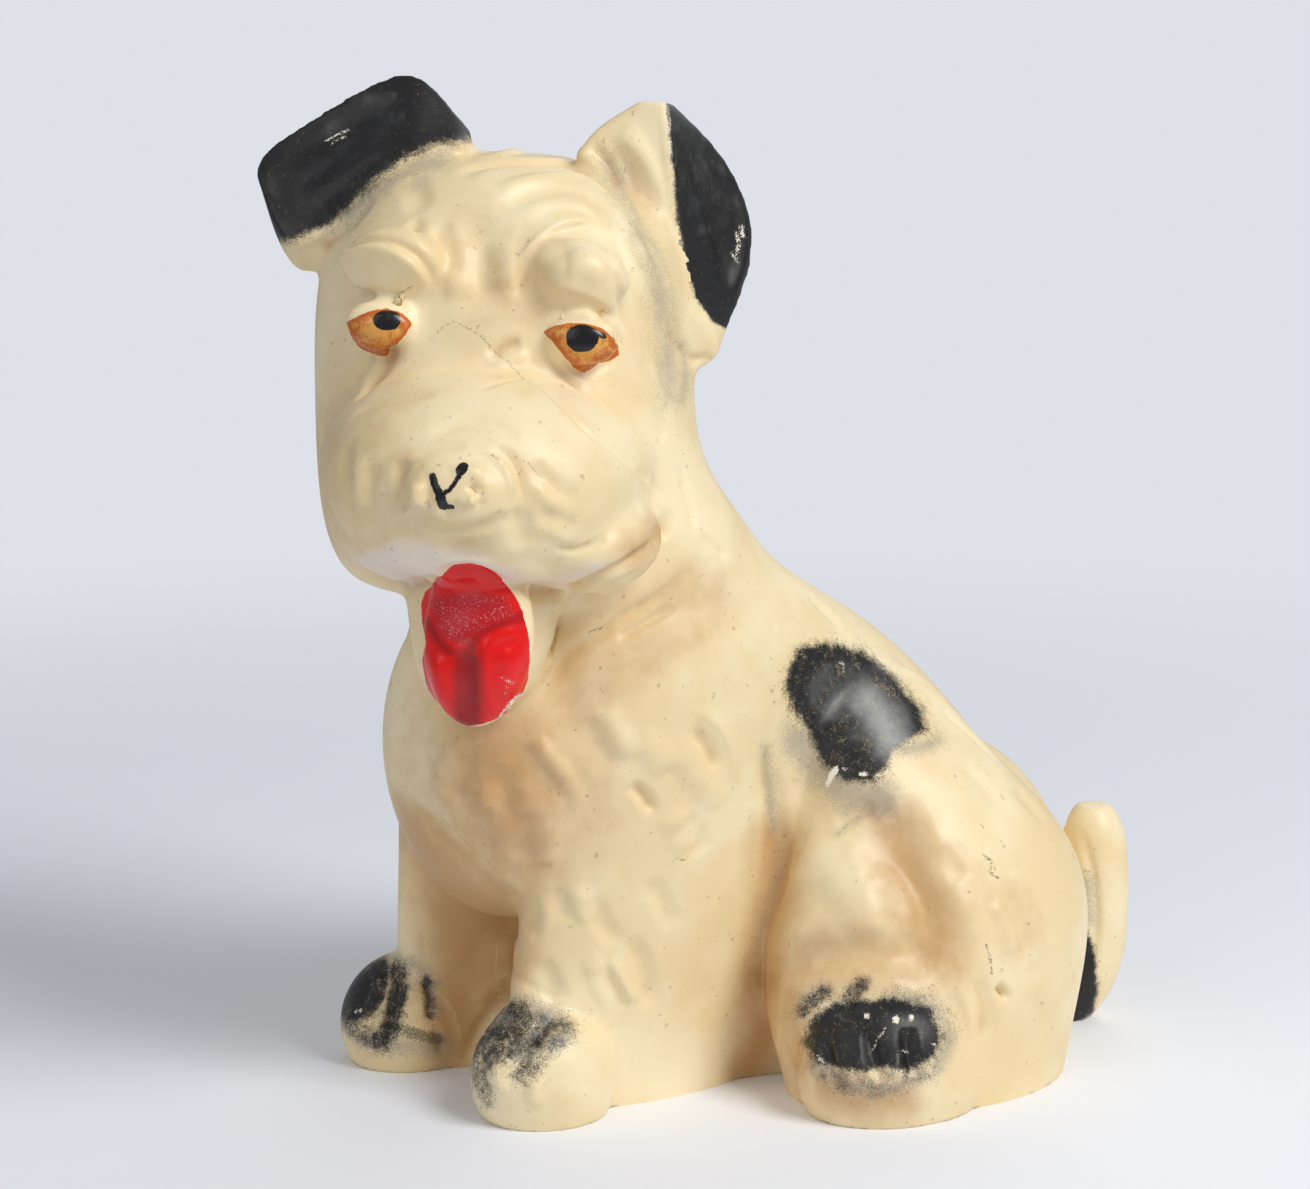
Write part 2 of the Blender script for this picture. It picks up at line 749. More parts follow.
@dataclass
class Face(Form):
    """The muzzle with its nose, lips and jaw."""

    crease_width: float = 4.0
    crease_depth: float = 1.1
    step_height: float = 1.5
    fine_width: float = 3.4
    fine_depth: float = 1.0

    def marks(self) -> list[Mark]:
        """Returns the creases of the muzzle, the nose's rim and nostrils, the lips and the jaw's edge."""
        return self._bridge() + self._nose() + self._whisker_folds() + self._lips() + self._cheek()

    def _bridge(self) -> list[Mark]:
        """Returns the muzzle's top edge, and the creases on its bridge and its right side."""
        fine = (self.fine_width, self.fine_depth)
        muzzle_top = (
            (478, 392), (499, 383), (524, 381), (544, 391), (561, 408), (579, 426), (604, 446), (634, 468),
        )
        return [
            groove(self.crease_width, 1.0, *muzzle_top),
            fold(15.0, self.step_height, *muzzle_top),
            groove(*fine, (548, 362), (566, 376), (590, 396), (612, 414)),
            groove(*fine, (634, 468), (650, 480), (664, 496)),
            groove(5.0, 1.4, (489, 358), (504, 348), (521, 342)),
            ridge(6.0, 0.8, (492, 368), (510, 358), (528, 353)),
            groove(6.0, 1.5, (399, 346), (387, 362), (374, 381), (358, 400)),
            groove(*fine, (374, 352), (364, 368), (350, 384)),
            groove(5.0, 0.9, (430, 434), (460, 424), (492, 424), (520, 436)),
            groove(6.0, 0.9, (354, 414), (376, 403), (404, 397), (436, 394)),
            groove(8.0, 0.8, (347, 440), (345, 470), (349, 502), (360, 530)),
            groove(8.0, 0.7, (374, 462), (368, 490), (372, 518), (384, 540)),
            ridge(8.0, 0.9, (360, 455), (357, 485), (362, 515)),
        ]

    def _nose(self) -> list[Mark]:
        """Returns the nose's rim, its nostrils and the ridges beside them."""
        return [
            groove(6.0, 1.5, (405, 460), (400, 476), (399, 496), (406, 513)),
            groove(6.0, 1.5, (406, 513), (430, 524), (456, 530), (484, 526), (508, 514)),
            ridge(4.4, 0.9, (489, 455), (501, 464), (510, 480), (513, 498)),
            groove(4.0, 0.8, (493, 448), (508, 458), (518, 477), (520, 500)),
            groove(4.0, 0.7, (412, 456), (436, 449), (466, 446)),
            ridge(5.5, 1.5, (417, 482), (416, 496), (419, 509)),
            groove(4.0, 0.8, (427, 470), (427, 490), (432, 507)),
            ridge(8.0, 1.8, (469, 494), (473, 505)),
            groove(3.6, 1.5, (468, 482), (478, 493), (482, 507)),
            groove(4.4, 0.9, (440, 506), (452, 514)),
            ridge(5.0, 0.8, (452, 474), (470, 470), (484, 478)),
        ]

    def _whisker_folds(self) -> list[Mark]:
        """Returns the folds of the muzzle beside the nose."""
        fine = (self.fine_width, self.fine_depth)
        return [
            groove(6.0, 0.7, (530, 462), (546, 480), (560, 492), (582, 499)),
            ridge(6.0, 0.7, (534, 482), (547, 498), (564, 510)),
            groove(6.0, 0.7, (536, 512), (552, 519), (574, 530)),
            ridge(6.0, 0.6, (546, 525), (560, 532), (575, 541)),
            groove(9.0, 1.0, (515, 508), (521, 528), (527, 548)),
            groove(*fine, (556, 548), (580, 549), (606, 538)),
        ]

    def _lips(self) -> list[Mark]:
        """Returns the groove under the nose, the full upper lip and the mouth's edges."""
        right = ((352, 566), (378, 580), (402, 588), (424, 582), (440, 576))
        left = ((500, 582), (522, 589), (548, 594), (572, 589), (600, 577), (630, 562), (662, 542))
        return [
            groove(14.0, 1.8, (464, 538), (467, 562)),
            ridge(9.0, 0.9, (350, 546), (384, 560), (420, 562)),
            ridge(9.0, 0.9, (506, 566), (546, 576), (590, 562), (632, 540)),
            groove(5.0, 2.0, *right),
            groove(5.0, 2.2, *left),
            groove(6.0, 1.8, (440, 576), (468, 570), (500, 582)),
            groove(6.0, 1.8, (652, 544), (662, 528), (667, 508)),
        ]

    def _cheek(self) -> list[Mark]:
        """Returns the jaw's swell, the cheek's edge over the neck and the creases beside it."""
        crease = (self.crease_width, self.crease_depth)
        fine = (self.fine_width, self.fine_depth)
        edge = (
            (698, 554), (678, 578), (653, 598), (616, 619), (589, 637), (564, 655), (549, 675), (530, 704),
        )
        return [
            ridge(7.0, 1.0, (540, 610), (576, 602), (612, 588), (648, 568)),
            groove(7.0, 0.8, *edge),
            fold(16.0, 1.5, *edge),
            groove(*fine, (616, 640), (646, 622), (676, 606)),
            groove(*crease, (680, 466), (685, 490), (691, 512), (695, 532)),
            groove(*fine, (702, 536), (716, 548), (728, 556)),
            groove(5.0, 0.9, (560, 612), (556, 636), (546, 662)),
            groove(5.0, 0.9, (404, 604), (410, 640), (419, 680), (430, 708)),
        ]

    def patches(self) -> list[Patch]:
        """Returns the nose's strokes, the pale lip, the tan in the folds and the grime on the muzzle."""
        nose = ("nose", "muzzle")
        muzzle = nose + ("head", "lower_jaw")
        throat = ("body_casting", "left_foreleg", "chest_ruff")
        return [
            brush(Coat.INK, nose, 4.4, (432, 477), (435, 486), (439, 495)),
            brush(Coat.INK, nose, 4.8, (440, 499), (443, 506)),
            brush(Coat.INK, nose, 3.2, (444, 508), (452, 507)),
            brush(Coat.INK, nose, 2.6, (458, 478), (452, 487), (444, 494)),
            brush(Coat.INK, nose, 5.6, (461, 471), (463, 468)),
            area(Coat.PALE, muzzle, (352, 560), (366, 552), (392, 543), (424, 541), (450, 552), (478, 556),
                 (500, 566), (526, 574), (560, 574), (596, 560), (610, 566), (560, 590), (520, 588),
                 (486, 574), (450, 571), (424, 582), (402, 590), (378, 580), softness=1.5),
            brush(Coat.TAN, muzzle, 16.0, (344, 440), (346, 480), (352, 516), softness=2.8, strength=-2.4),
            brush(Coat.TAN, muzzle, 5.0, (404, 468), (402, 494), (410, 514), softness=1.5, strength=-2.0),
            brush(Coat.TAN, muzzle, 5.0, (636, 552), (652, 542), (662, 528), softness=1.6),
            brush(Coat.TAN, throat, 12.0, (548, 716), (568, 692), (594, 670), (626, 648), (664, 626),
                  (696, 600), softness=2.4, strength=-1.8),
            area(Coat.GRIME, muzzle, *oval((421, 444), 18.0, 13.0), strength=-1.1),
            brush(Coat.GRIME, muzzle, 1.2, (454, 322), (469, 329), (482, 337), (492, 349)),
            brush(Coat.GRIME, muzzle, 0.9, (492, 349), (506, 361), (519, 374), (529, 385)),
            brush(Coat.GRIME, muzzle, 0.9, (430, 340), (442, 328), (454, 322)),
            brush(Coat.GRIME, muzzle, 0.8, (482, 452), (492, 456), (498, 461)),
            brush(Coat.GRIME, muzzle, 0.9, (470, 486), (478, 493)),
            brush(Coat.GRIME, muzzle, 0.8, (524, 460), (532, 466), (542, 478)),
            brush(Coat.GRIME, muzzle, 0.8, (684, 490), (688, 506), (692, 518)),
            brush(Coat.GRIME, throat, 1.0, (590, 632), (600, 628), (606, 626)),
        ]


@dataclass
class Eyes(Form):
    """The eyes: a lid, an amber ring with a drooping corner, and a black pupil."""

    lid_height: float = 0.9
    rim_depth: float = 0.8

    def marks(self) -> list[Mark]:
        """Returns the lids and the rims of the eyes."""
        lid = (3.6, self.lid_height)
        rim = (2.8, self.rim_depth)
        return [
            ridge(*lid, (342, 317), (358, 303), (380, 298), (402, 301), (418, 318)),
            groove(*rim, (346, 322), (360, 312), (380, 307), (400, 309), (413, 321)),
            groove(*rim, (350, 338), (362, 352), (384, 359), (400, 346), (412, 328)),
            ridge(*lid, (538, 328), (556, 316), (582, 314), (608, 321), (624, 342)),
            groove(*rim, (543, 332), (558, 323), (582, 320), (604, 327), (618, 346)),
            groove(*rim, (548, 342), (562, 360), (584, 374), (604, 366), (620, 358)),
        ]

    def patches(self) -> list[Patch]:
        """Returns the amber of both eyes and their black pupils."""
        right = ("right_eye", "head", "muzzle", "right_brow")
        left = ("left_eye", "head", "muzzle", "left_brow")
        return [
            area(Coat.AMBER, right, (346, 322), (362, 312), (375, 308), (387, 306), (402, 311), (413, 323),
                 (404, 338), (397, 347), (383, 357), (370, 354), (357, 347), (350, 334)),
            area(Coat.INK, right, *oval((387, 320), 29.0, 22.0)),
            area(Coat.AMBER, left, (543, 332), (554, 324), (569, 321), (589, 322), (606, 328), (616, 339),
                 (620, 355), (611, 361), (599, 364), (586, 373), (574, 369), (564, 357), (554, 344)),
            area(Coat.INK, left, *oval((582, 338), 33.0, 29.0)),
            brush(Coat.INK, left, 3.0, (594, 331), (604, 336)),
        ]


@dataclass
class Ears(Form):
    """Two folded ears, black outside and cream at their rims."""

    rim_height: float = 1.1

    def marks(self) -> list[Mark]:
        """Returns the folds of the ears and the creases at their roots."""
        return [
            ridge(5.0, self.rim_height, (667, 112), (671, 160), (679, 220), (690, 278), (708, 318)),
            groove(10.0, 1.4, (690, 150), (706, 196), (722, 244), (724, 290)),
            ridge(6.0, 1.0, (735, 190), (744, 224), (742, 262), (730, 300)),
            groove(11.0, 1.8, (600, 150), (626, 170), (646, 208), (660, 250)),
            ridge(8.0, 0.9, (622, 128), (642, 160), (656, 200)),
            groove(5.0, 1.6, (588, 148), (604, 160), (622, 186)),
            groove(4.0, 1.2, (684, 352), (696, 360), (712, 356)),
            groove(12.0, 1.2, (284, 160), (320, 138), (366, 118), (410, 104)),
            ridge(8.0, 1.0, (300, 200), (330, 184), (362, 160), (388, 142)),
            groove(6.0, 1.4, (300, 252), (324, 244), (350, 224), (374, 198)),
        ]

    def patches(self) -> list[Patch]:
        """Returns the black on the ears and its chips."""
        right, left = ("right_ear", "head"), ("left_ear",)
        black = (
            (222, 148), (290, 92), (352, 60), (412, 40), (440, 70), (462, 102), (484, 136), (440, 139),
            (400, 157), (368, 182), (344, 207), (322, 225), (286, 238), (252, 246),
        )
        return [
            area(Coat.AIRBRUSH, right, *black, softness=1.1),
            area(Coat.AIRBRUSH, ("right_ear",), *black, softness=1.1, through=True),
            area(Coat.AIRBRUSH, left, (668, 90), (700, 92), (760, 160), (790, 225), (780, 290), (748, 340),
                 (727, 328), (712, 320), (695, 297), (683, 265), (676, 220), (671, 165), (668, 120),
                 softness=0.28, through=True),
            brush(Coat.THIN, ("right_ear",), 6.0, (345, 132), (362, 124), (378, 116), softness=1.4,
                  strength=-3.6),
            brush(Coat.THIN, ("right_ear",), 8.0, (300, 214), (330, 190), (362, 160), softness=1.6,
                  strength=-4.0),
            brush(Coat.THIN, left, 5.0, (690, 130), (700, 170), (708, 210), softness=1.2, strength=-3.6),
            brush(Coat.CHIP, right, 0.8, (330, 143), (337, 137), (344, 135)),
            brush(Coat.CHIP, right, 1.0, (324, 139), (336, 132), (346, 128)),
            brush(Coat.CHIP, left, 1.1, (736, 232), (738, 244), (736, 254)),
            brush(Coat.CHIP, left, 1.3, (740, 226), (741, 236)),
            brush(Coat.CHIP, left, 0.9, (732, 252), (737, 262)),
            brush(Coat.CHIP, left, 0.8, (668, 106), (669, 120), (668, 132)),
        ]


@dataclass
class Tongue(Form):
    """The tongue that hangs over the jaw."""

    groove_depth: float = 1.4

    def marks(self) -> list[Mark]:
        """Returns the tongue's groove and its raised halves."""
        return [
            groove(8.0, self.groove_depth, (466, 640), (467, 664), (469, 692), (470, 722)),
            fold(9.0, 1.0, (484, 722), (482, 690), (480, 650), (492, 632), (522, 622)),
            ridge(8.0, 0.9, (504, 644), (508, 670), (503, 700)),
            ridge(7.0, 0.8, (436, 654), (440, 684), (449, 706)),
            ridge(9.0, 0.8, (436, 604), (462, 590), (492, 594), (512, 610)),
        ]

    def patches(self) -> list[Patch]:
        """Returns the red enamel, its dull upper half, its dark groove and its chips."""
        mouth = ("tongue", "lower_jaw", "muzzle", "head")
        enamel = (
            (421, 604), (425, 591), (437, 579), (452, 571), (469, 569), (487, 573), (502, 580), (514, 594),
            (523, 612), (529, 637), (530, 660), (528, 680), (521, 697), (511, 702), (506, 714), (494, 720),
            (479, 725), (462, 727), (447, 722), (435, 709), (426, 685), (422, 661), (426, 641), (422, 622),
        )
        return [
            area(Coat.RED, mouth, *enamel),
            area(Coat.RED, ("tongue",), *enamel, through=True),
            area(Coat.DULL, mouth, (427, 600), (450, 592), (480, 588), (506, 596), (521, 616), (489, 627),
                 (476, 636), (466, 648), (452, 644), (438, 636)),
            brush(Coat.DEEP, mouth, 14.0, (466, 664), (467, 690), (468, 726)),
            brush(Coat.DEEP, mouth, 5.0, (428, 622), (440, 642), (452, 652), (468, 652), (478, 634),
                  (494, 626), (520, 617)),
            brush(Coat.CHIP, mouth, 0.8, (499, 676), (506, 679), (512, 682)),
            brush(Coat.CHIP, mouth, 0.6, (506, 681), (506, 688), (504, 695)),
            brush(Coat.CHIP, mouth, 1.4, (496, 722), (506, 708), (514, 699), (523, 694)),
        ]


@dataclass
class Chest(Form):
    """The neck, the ruff on the chest and the flank between the legs."""

    lock_width: float = 10.0
    lock_height: float = 1.0

    def marks(self) -> list[Mark]:
        """Returns the ruff's locks and the hair on the shoulder and the back."""
        return self._ruff() + self._shoulder() + self._flank()

    def _ruff(self) -> list[Mark]:
        """Returns the locks on the chest and the gaps between them."""
        lock = (self.lock_width, self.lock_height)
        gap = (self.lock_width + 1.0, self.lock_height)
        return [
            ridge(*lock, (458, 742), (450, 764), (444, 786), (447, 802), (454, 816)),
            groove(*gap, (466, 744), (459, 766), (453, 786), (456, 802)),
            ridge(9.0, 1.4, (482, 786), (488, 800), (486, 812)),
            groove(*gap, (500, 762), (504, 790), (498, 816)),
            groove(*gap, (512, 740), (526, 764), (546, 786), (560, 804)),
            ridge(6.0, 1.0, (534, 736), (552, 762), (570, 786), (580, 806)),
            groove(*gap, (470, 818), (478, 836), (492, 852)),
            groove(*gap, (520, 812), (524, 836), (520, 862)),
            ridge(*lock, (540, 820), (546, 842), (544, 866)),
            groove(7.0, 1.6, (404, 798), (424, 812), (448, 836), (476, 862), (504, 890), (524, 902)),
        ]

    def _shoulder(self) -> list[Mark]:
        """Returns the locks on the left shoulder and the fold behind them."""
        lock = (self.lock_width, self.lock_height)
        gap = (self.lock_width + 1.0, self.lock_height)
        return [
            groove(*gap, (590, 716), (600, 746), (618, 774)),
            ridge(*lock, (600, 706), (614, 734), (630, 758)),
            ridge(*lock, (636, 738), (654, 752), (664, 774)),
            ridge(*lock, (668, 740), (688, 764), (706, 786), (722, 806)),
            fold(9.0, 1.5, (728, 784), (728, 762), (722, 742), (708, 724), (688, 718)),
            groove(6.0, 1.5, (692, 728), (708, 746), (717, 770)),
            groove(5.0, 1.6, (630, 784), (644, 797), (654, 814)),
            ridge(*lock, (668, 812), (682, 832), (690, 852)),
            groove(*gap, (680, 820), (694, 838), (702, 856)),
        ]

    @staticmethod
    def _flank() -> list[Mark]:
        """Returns the groove behind the foreleg and the hair on the back."""
        return both_sides([
            groove(9.0, 1.8, (764, 744), (770, 780), (774, 820), (777, 862), (779, 904)),
            groove(6.0, 0.8, (808, 596), (832, 618), (850, 640)),
            groove(5.0, 0.8, (940, 708), (968, 732), (996, 760)),
        ])

    def patches(self) -> list[Patch]:
        """Returns the flank's black spot with its pale middle and chips, and the tan between the legs."""
        flank = ("body_casting", "left_haunch", "left_foreleg", "rump")
        front = ("body_casting", "chest_ruff", "left_foreleg", "right_foreleg", "lower_jaw")
        return [
            area(Coat.AIRBRUSH, flank, (799, 652), (824, 645), (862, 654), (894, 680), (917, 708),
                 (925, 729), (905, 738), (890, 748), (884, 766), (870, 780), (848, 778), (826, 764),
                 (812, 732), (794, 708), (789, 683), softness=1.0, strength=0.6),
            brush(Coat.THIN, flank, 11.0, (868, 700), (882, 716), (890, 738), softness=1.2),
            brush(Coat.THIN, flank, 12.0, (838, 690), (856, 700), (868, 716), softness=1.4, strength=-2.6),
            brush(Coat.HAZE, flank, 20.0, (800, 740), (826, 774), (850, 790), (880, 796), softness=1.8),
            brush(Coat.HAZE, flank, 4.0, (767, 748), (771, 776), (774, 806), (776, 832), softness=0.9),
            brush(Coat.HAZE, flank, 3.0, (838, 834), (852, 820), (878, 808), softness=0.7),
            brush(Coat.HAZE, flank, 7.0, (896, 748), (918, 748), (938, 740), softness=1.1),
            area(Coat.CHIP, flank, (825, 785), (830, 771), (837, 765), (839, 771), (833, 779), (828, 788)),
            area(Coat.CHIP, flank, *oval((845, 769), 6.0, 2.6)),
            area(Coat.CHIP, flank, *oval((863, 774), 10.0, 4.0)),
            area(Coat.CHIP, flank, *oval((879, 775), 6.0, 3.0)),
            brush(Coat.CHIP, flank, 0.9, (840, 662), (844, 666), (843, 671)),
            brush(Coat.GRIME, flank, 0.8, (668, 866), (676, 859), (684, 860), (690, 856)),
            area(Coat.TAN, front, (398, 800), (430, 826), (470, 862), (520, 900), (520, 960), (508, 990),
                 (478, 1010), (466, 1040), (440, 1060), (436, 960), (424, 880), (404, 836), softness=2.0,
                 strength=14.0),
            brush(Coat.TAN, flank, 8.0, (776, 840), (778, 900), (770, 960), (758, 1040), softness=2.0),
            area(Coat.TAN, front, (470, 730), (520, 740), (560, 790), (540, 850), (500, 870), (470, 840),
                 (452, 790), softness=5.0, strength=2.0),
        ]


@dataclass
class Forelegs(Form):
    """The forelegs with their feathering and toes."""

    feather_width: float = 7.5
    feather_depth: float = 0.9
    toe_width: float = 5.5
    toe_depth: float = 1.7

    def marks(self) -> list[Mark]:
        """Returns the hair on the legs, the flare above the paws and the grooves between the toes."""
        return self._feathering() + self._toes()

    def _feathering(self) -> list[Mark]:
        """Returns the hair on the legs and the left leg's flare above its paw."""
        hair = (self.feather_width, self.feather_depth)
        return [
            groove(*hair, (556, 888), (560, 904), (563, 922)),
            ridge(*hair, (576, 886), (582, 904), (592, 922)),
            groove(*hair, (590, 898), (604, 926), (622, 946)),
            ridge(*hair, (588, 952), (602, 984), (616, 1012)),
            ridge(4.4, 1.4, (610, 958), (624, 984), (636, 1004)),
            groove(*hair, (600, 968), (612, 992), (624, 1010)),
            groove(8.0, 1.3, (628, 938), (642, 964), (649, 990), (650, 1010)),
            groove(*hair, (526, 896), (532, 918), (528, 938)),
            groove(*hair, (648, 880), (664, 904), (672, 930)),
            groove(*hair, (540, 960), (552, 984), (560, 1004)),
            ridge(22.0, 3.0, (519, 950), (510, 974), (496, 996), (482, 1012)),
            ridge(18.0, 1.6, (530, 985), (520, 1005), (508, 1020)),
        ]

    def _toes(self) -> list[Mark]:
        """Returns the grooves between the toes and the ridges on them."""
        toe = (self.toe_width, self.toe_depth)
        return [
            groove(*toe, (504, 992), (490, 1014), (474, 1040), (466, 1064)),
            groove(*toe, (556, 1012), (538, 1034), (524, 1054), (520, 1076)),
            groove(3.4, 1.1, (478, 1056), (482, 1076), (486, 1096)),
            ridge(6.0, 1.0, (474, 1004), (486, 990), (502, 980)),
            ridge(7.0, 1.1, (500, 1052), (498, 1074), (504, 1096)),
            ridge(6.0, 0.9, (536, 1076), (534, 1094), (540, 1108)),
            groove(*toe, (392, 966), (380, 994), (368, 1020), (360, 1040)),
            groove(*toe, (408, 968), (400, 996), (392, 1024), (390, 1048)),
            groove(3.4, 1.2, (426, 978), (430, 1000), (430, 1022)),
            groove(4.4, 1.4, (434, 1028), (440, 1044), (444, 1056)),
            ridge(7.0, 1.0, (372, 1034), (380, 1048)),
            ridge(7.0, 0.9, (346, 1020), (356, 1040)),
        ]

    def patches(self) -> list[Patch]:
        """Returns the black on the toes, denser between them, and the grime under it."""
        right, left = ("right_forepaw", "right_foreleg"), ("left_forepaw", "left_foreleg")
        return [
            area(Coat.AIRBRUSH, right, (338, 1010), (342, 984), (358, 968), (384, 960), (388, 972),
                 (376, 1000), (362, 1016), (346, 1020), strength=0.8),
            brush(Coat.AIRBRUSH, right, 7.0, (397, 972), (396, 1000), (388, 1026), (380, 1040),
                  strength=0.3),
            brush(Coat.AIRBRUSH, right, 1.6, (427, 982), (430, 1000), (430, 1014), softness=0.8,
                  strength=-0.5),
            brush(Coat.AIRBRUSH, right, 3.0, (350, 1024), (366, 1036), (384, 1040), strength=-0.8),
            brush(Coat.HAZE, right, 8.0, (388, 958), (410, 962), (426, 978), (432, 1010), softness=1.5),
            brush(Coat.HAZE, right, 10.0, (346, 1022), (366, 1040), (400, 1046), (440, 1044), softness=1.5),
            brush(Coat.GRIME, right, 6.0, (404, 1030), (424, 1036), (440, 1040), softness=1.5,
                  strength=0.2),
            brush(Coat.AIRBRUSH, left, 8.0, (468, 1052), (484, 1038), (504, 1028), (520, 1018),
                  softness=1.4, strength=-0.2),
            brush(Coat.AIRBRUSH, left, 6.0, (480, 1064), (500, 1052), (520, 1040), (544, 1026),
                  softness=1.3, strength=-0.5),
            brush(Coat.AIRBRUSH, left, 5.0, (524, 1074), (534, 1058), (548, 1042), (562, 1030),
                  softness=1.3, strength=-0.8),
            brush(Coat.AIRBRUSH, left, 2.0, (476, 1070), (480, 1084), (488, 1100), strength=-1.0),
            brush(Coat.HAZE, left, 16.0, (480, 1036), (510, 1018), (546, 1018), (556, 1034), (520, 1050),
                  softness=1.3),
            brush(Coat.HAZE, left, 5.0, (476, 1068), (492, 1090), softness=1.2),
            brush(Coat.CHIP, left, 0.9, (480, 1037), (485, 1033)),
            brush(Coat.CHIP, left, 0.8, (508, 1060), (511, 1064)),
            brush(Coat.CHIP, right, 1.0, (397, 1021), (404, 1018)),
            brush(Coat.CHIP, right, 1.0, (355, 1012), (361, 1010)),
            brush(Coat.TAN, right + ("body_casting",), 8.0, (436, 1000), (444, 1030), (450, 1056),
                  softness=2.0),
        ]


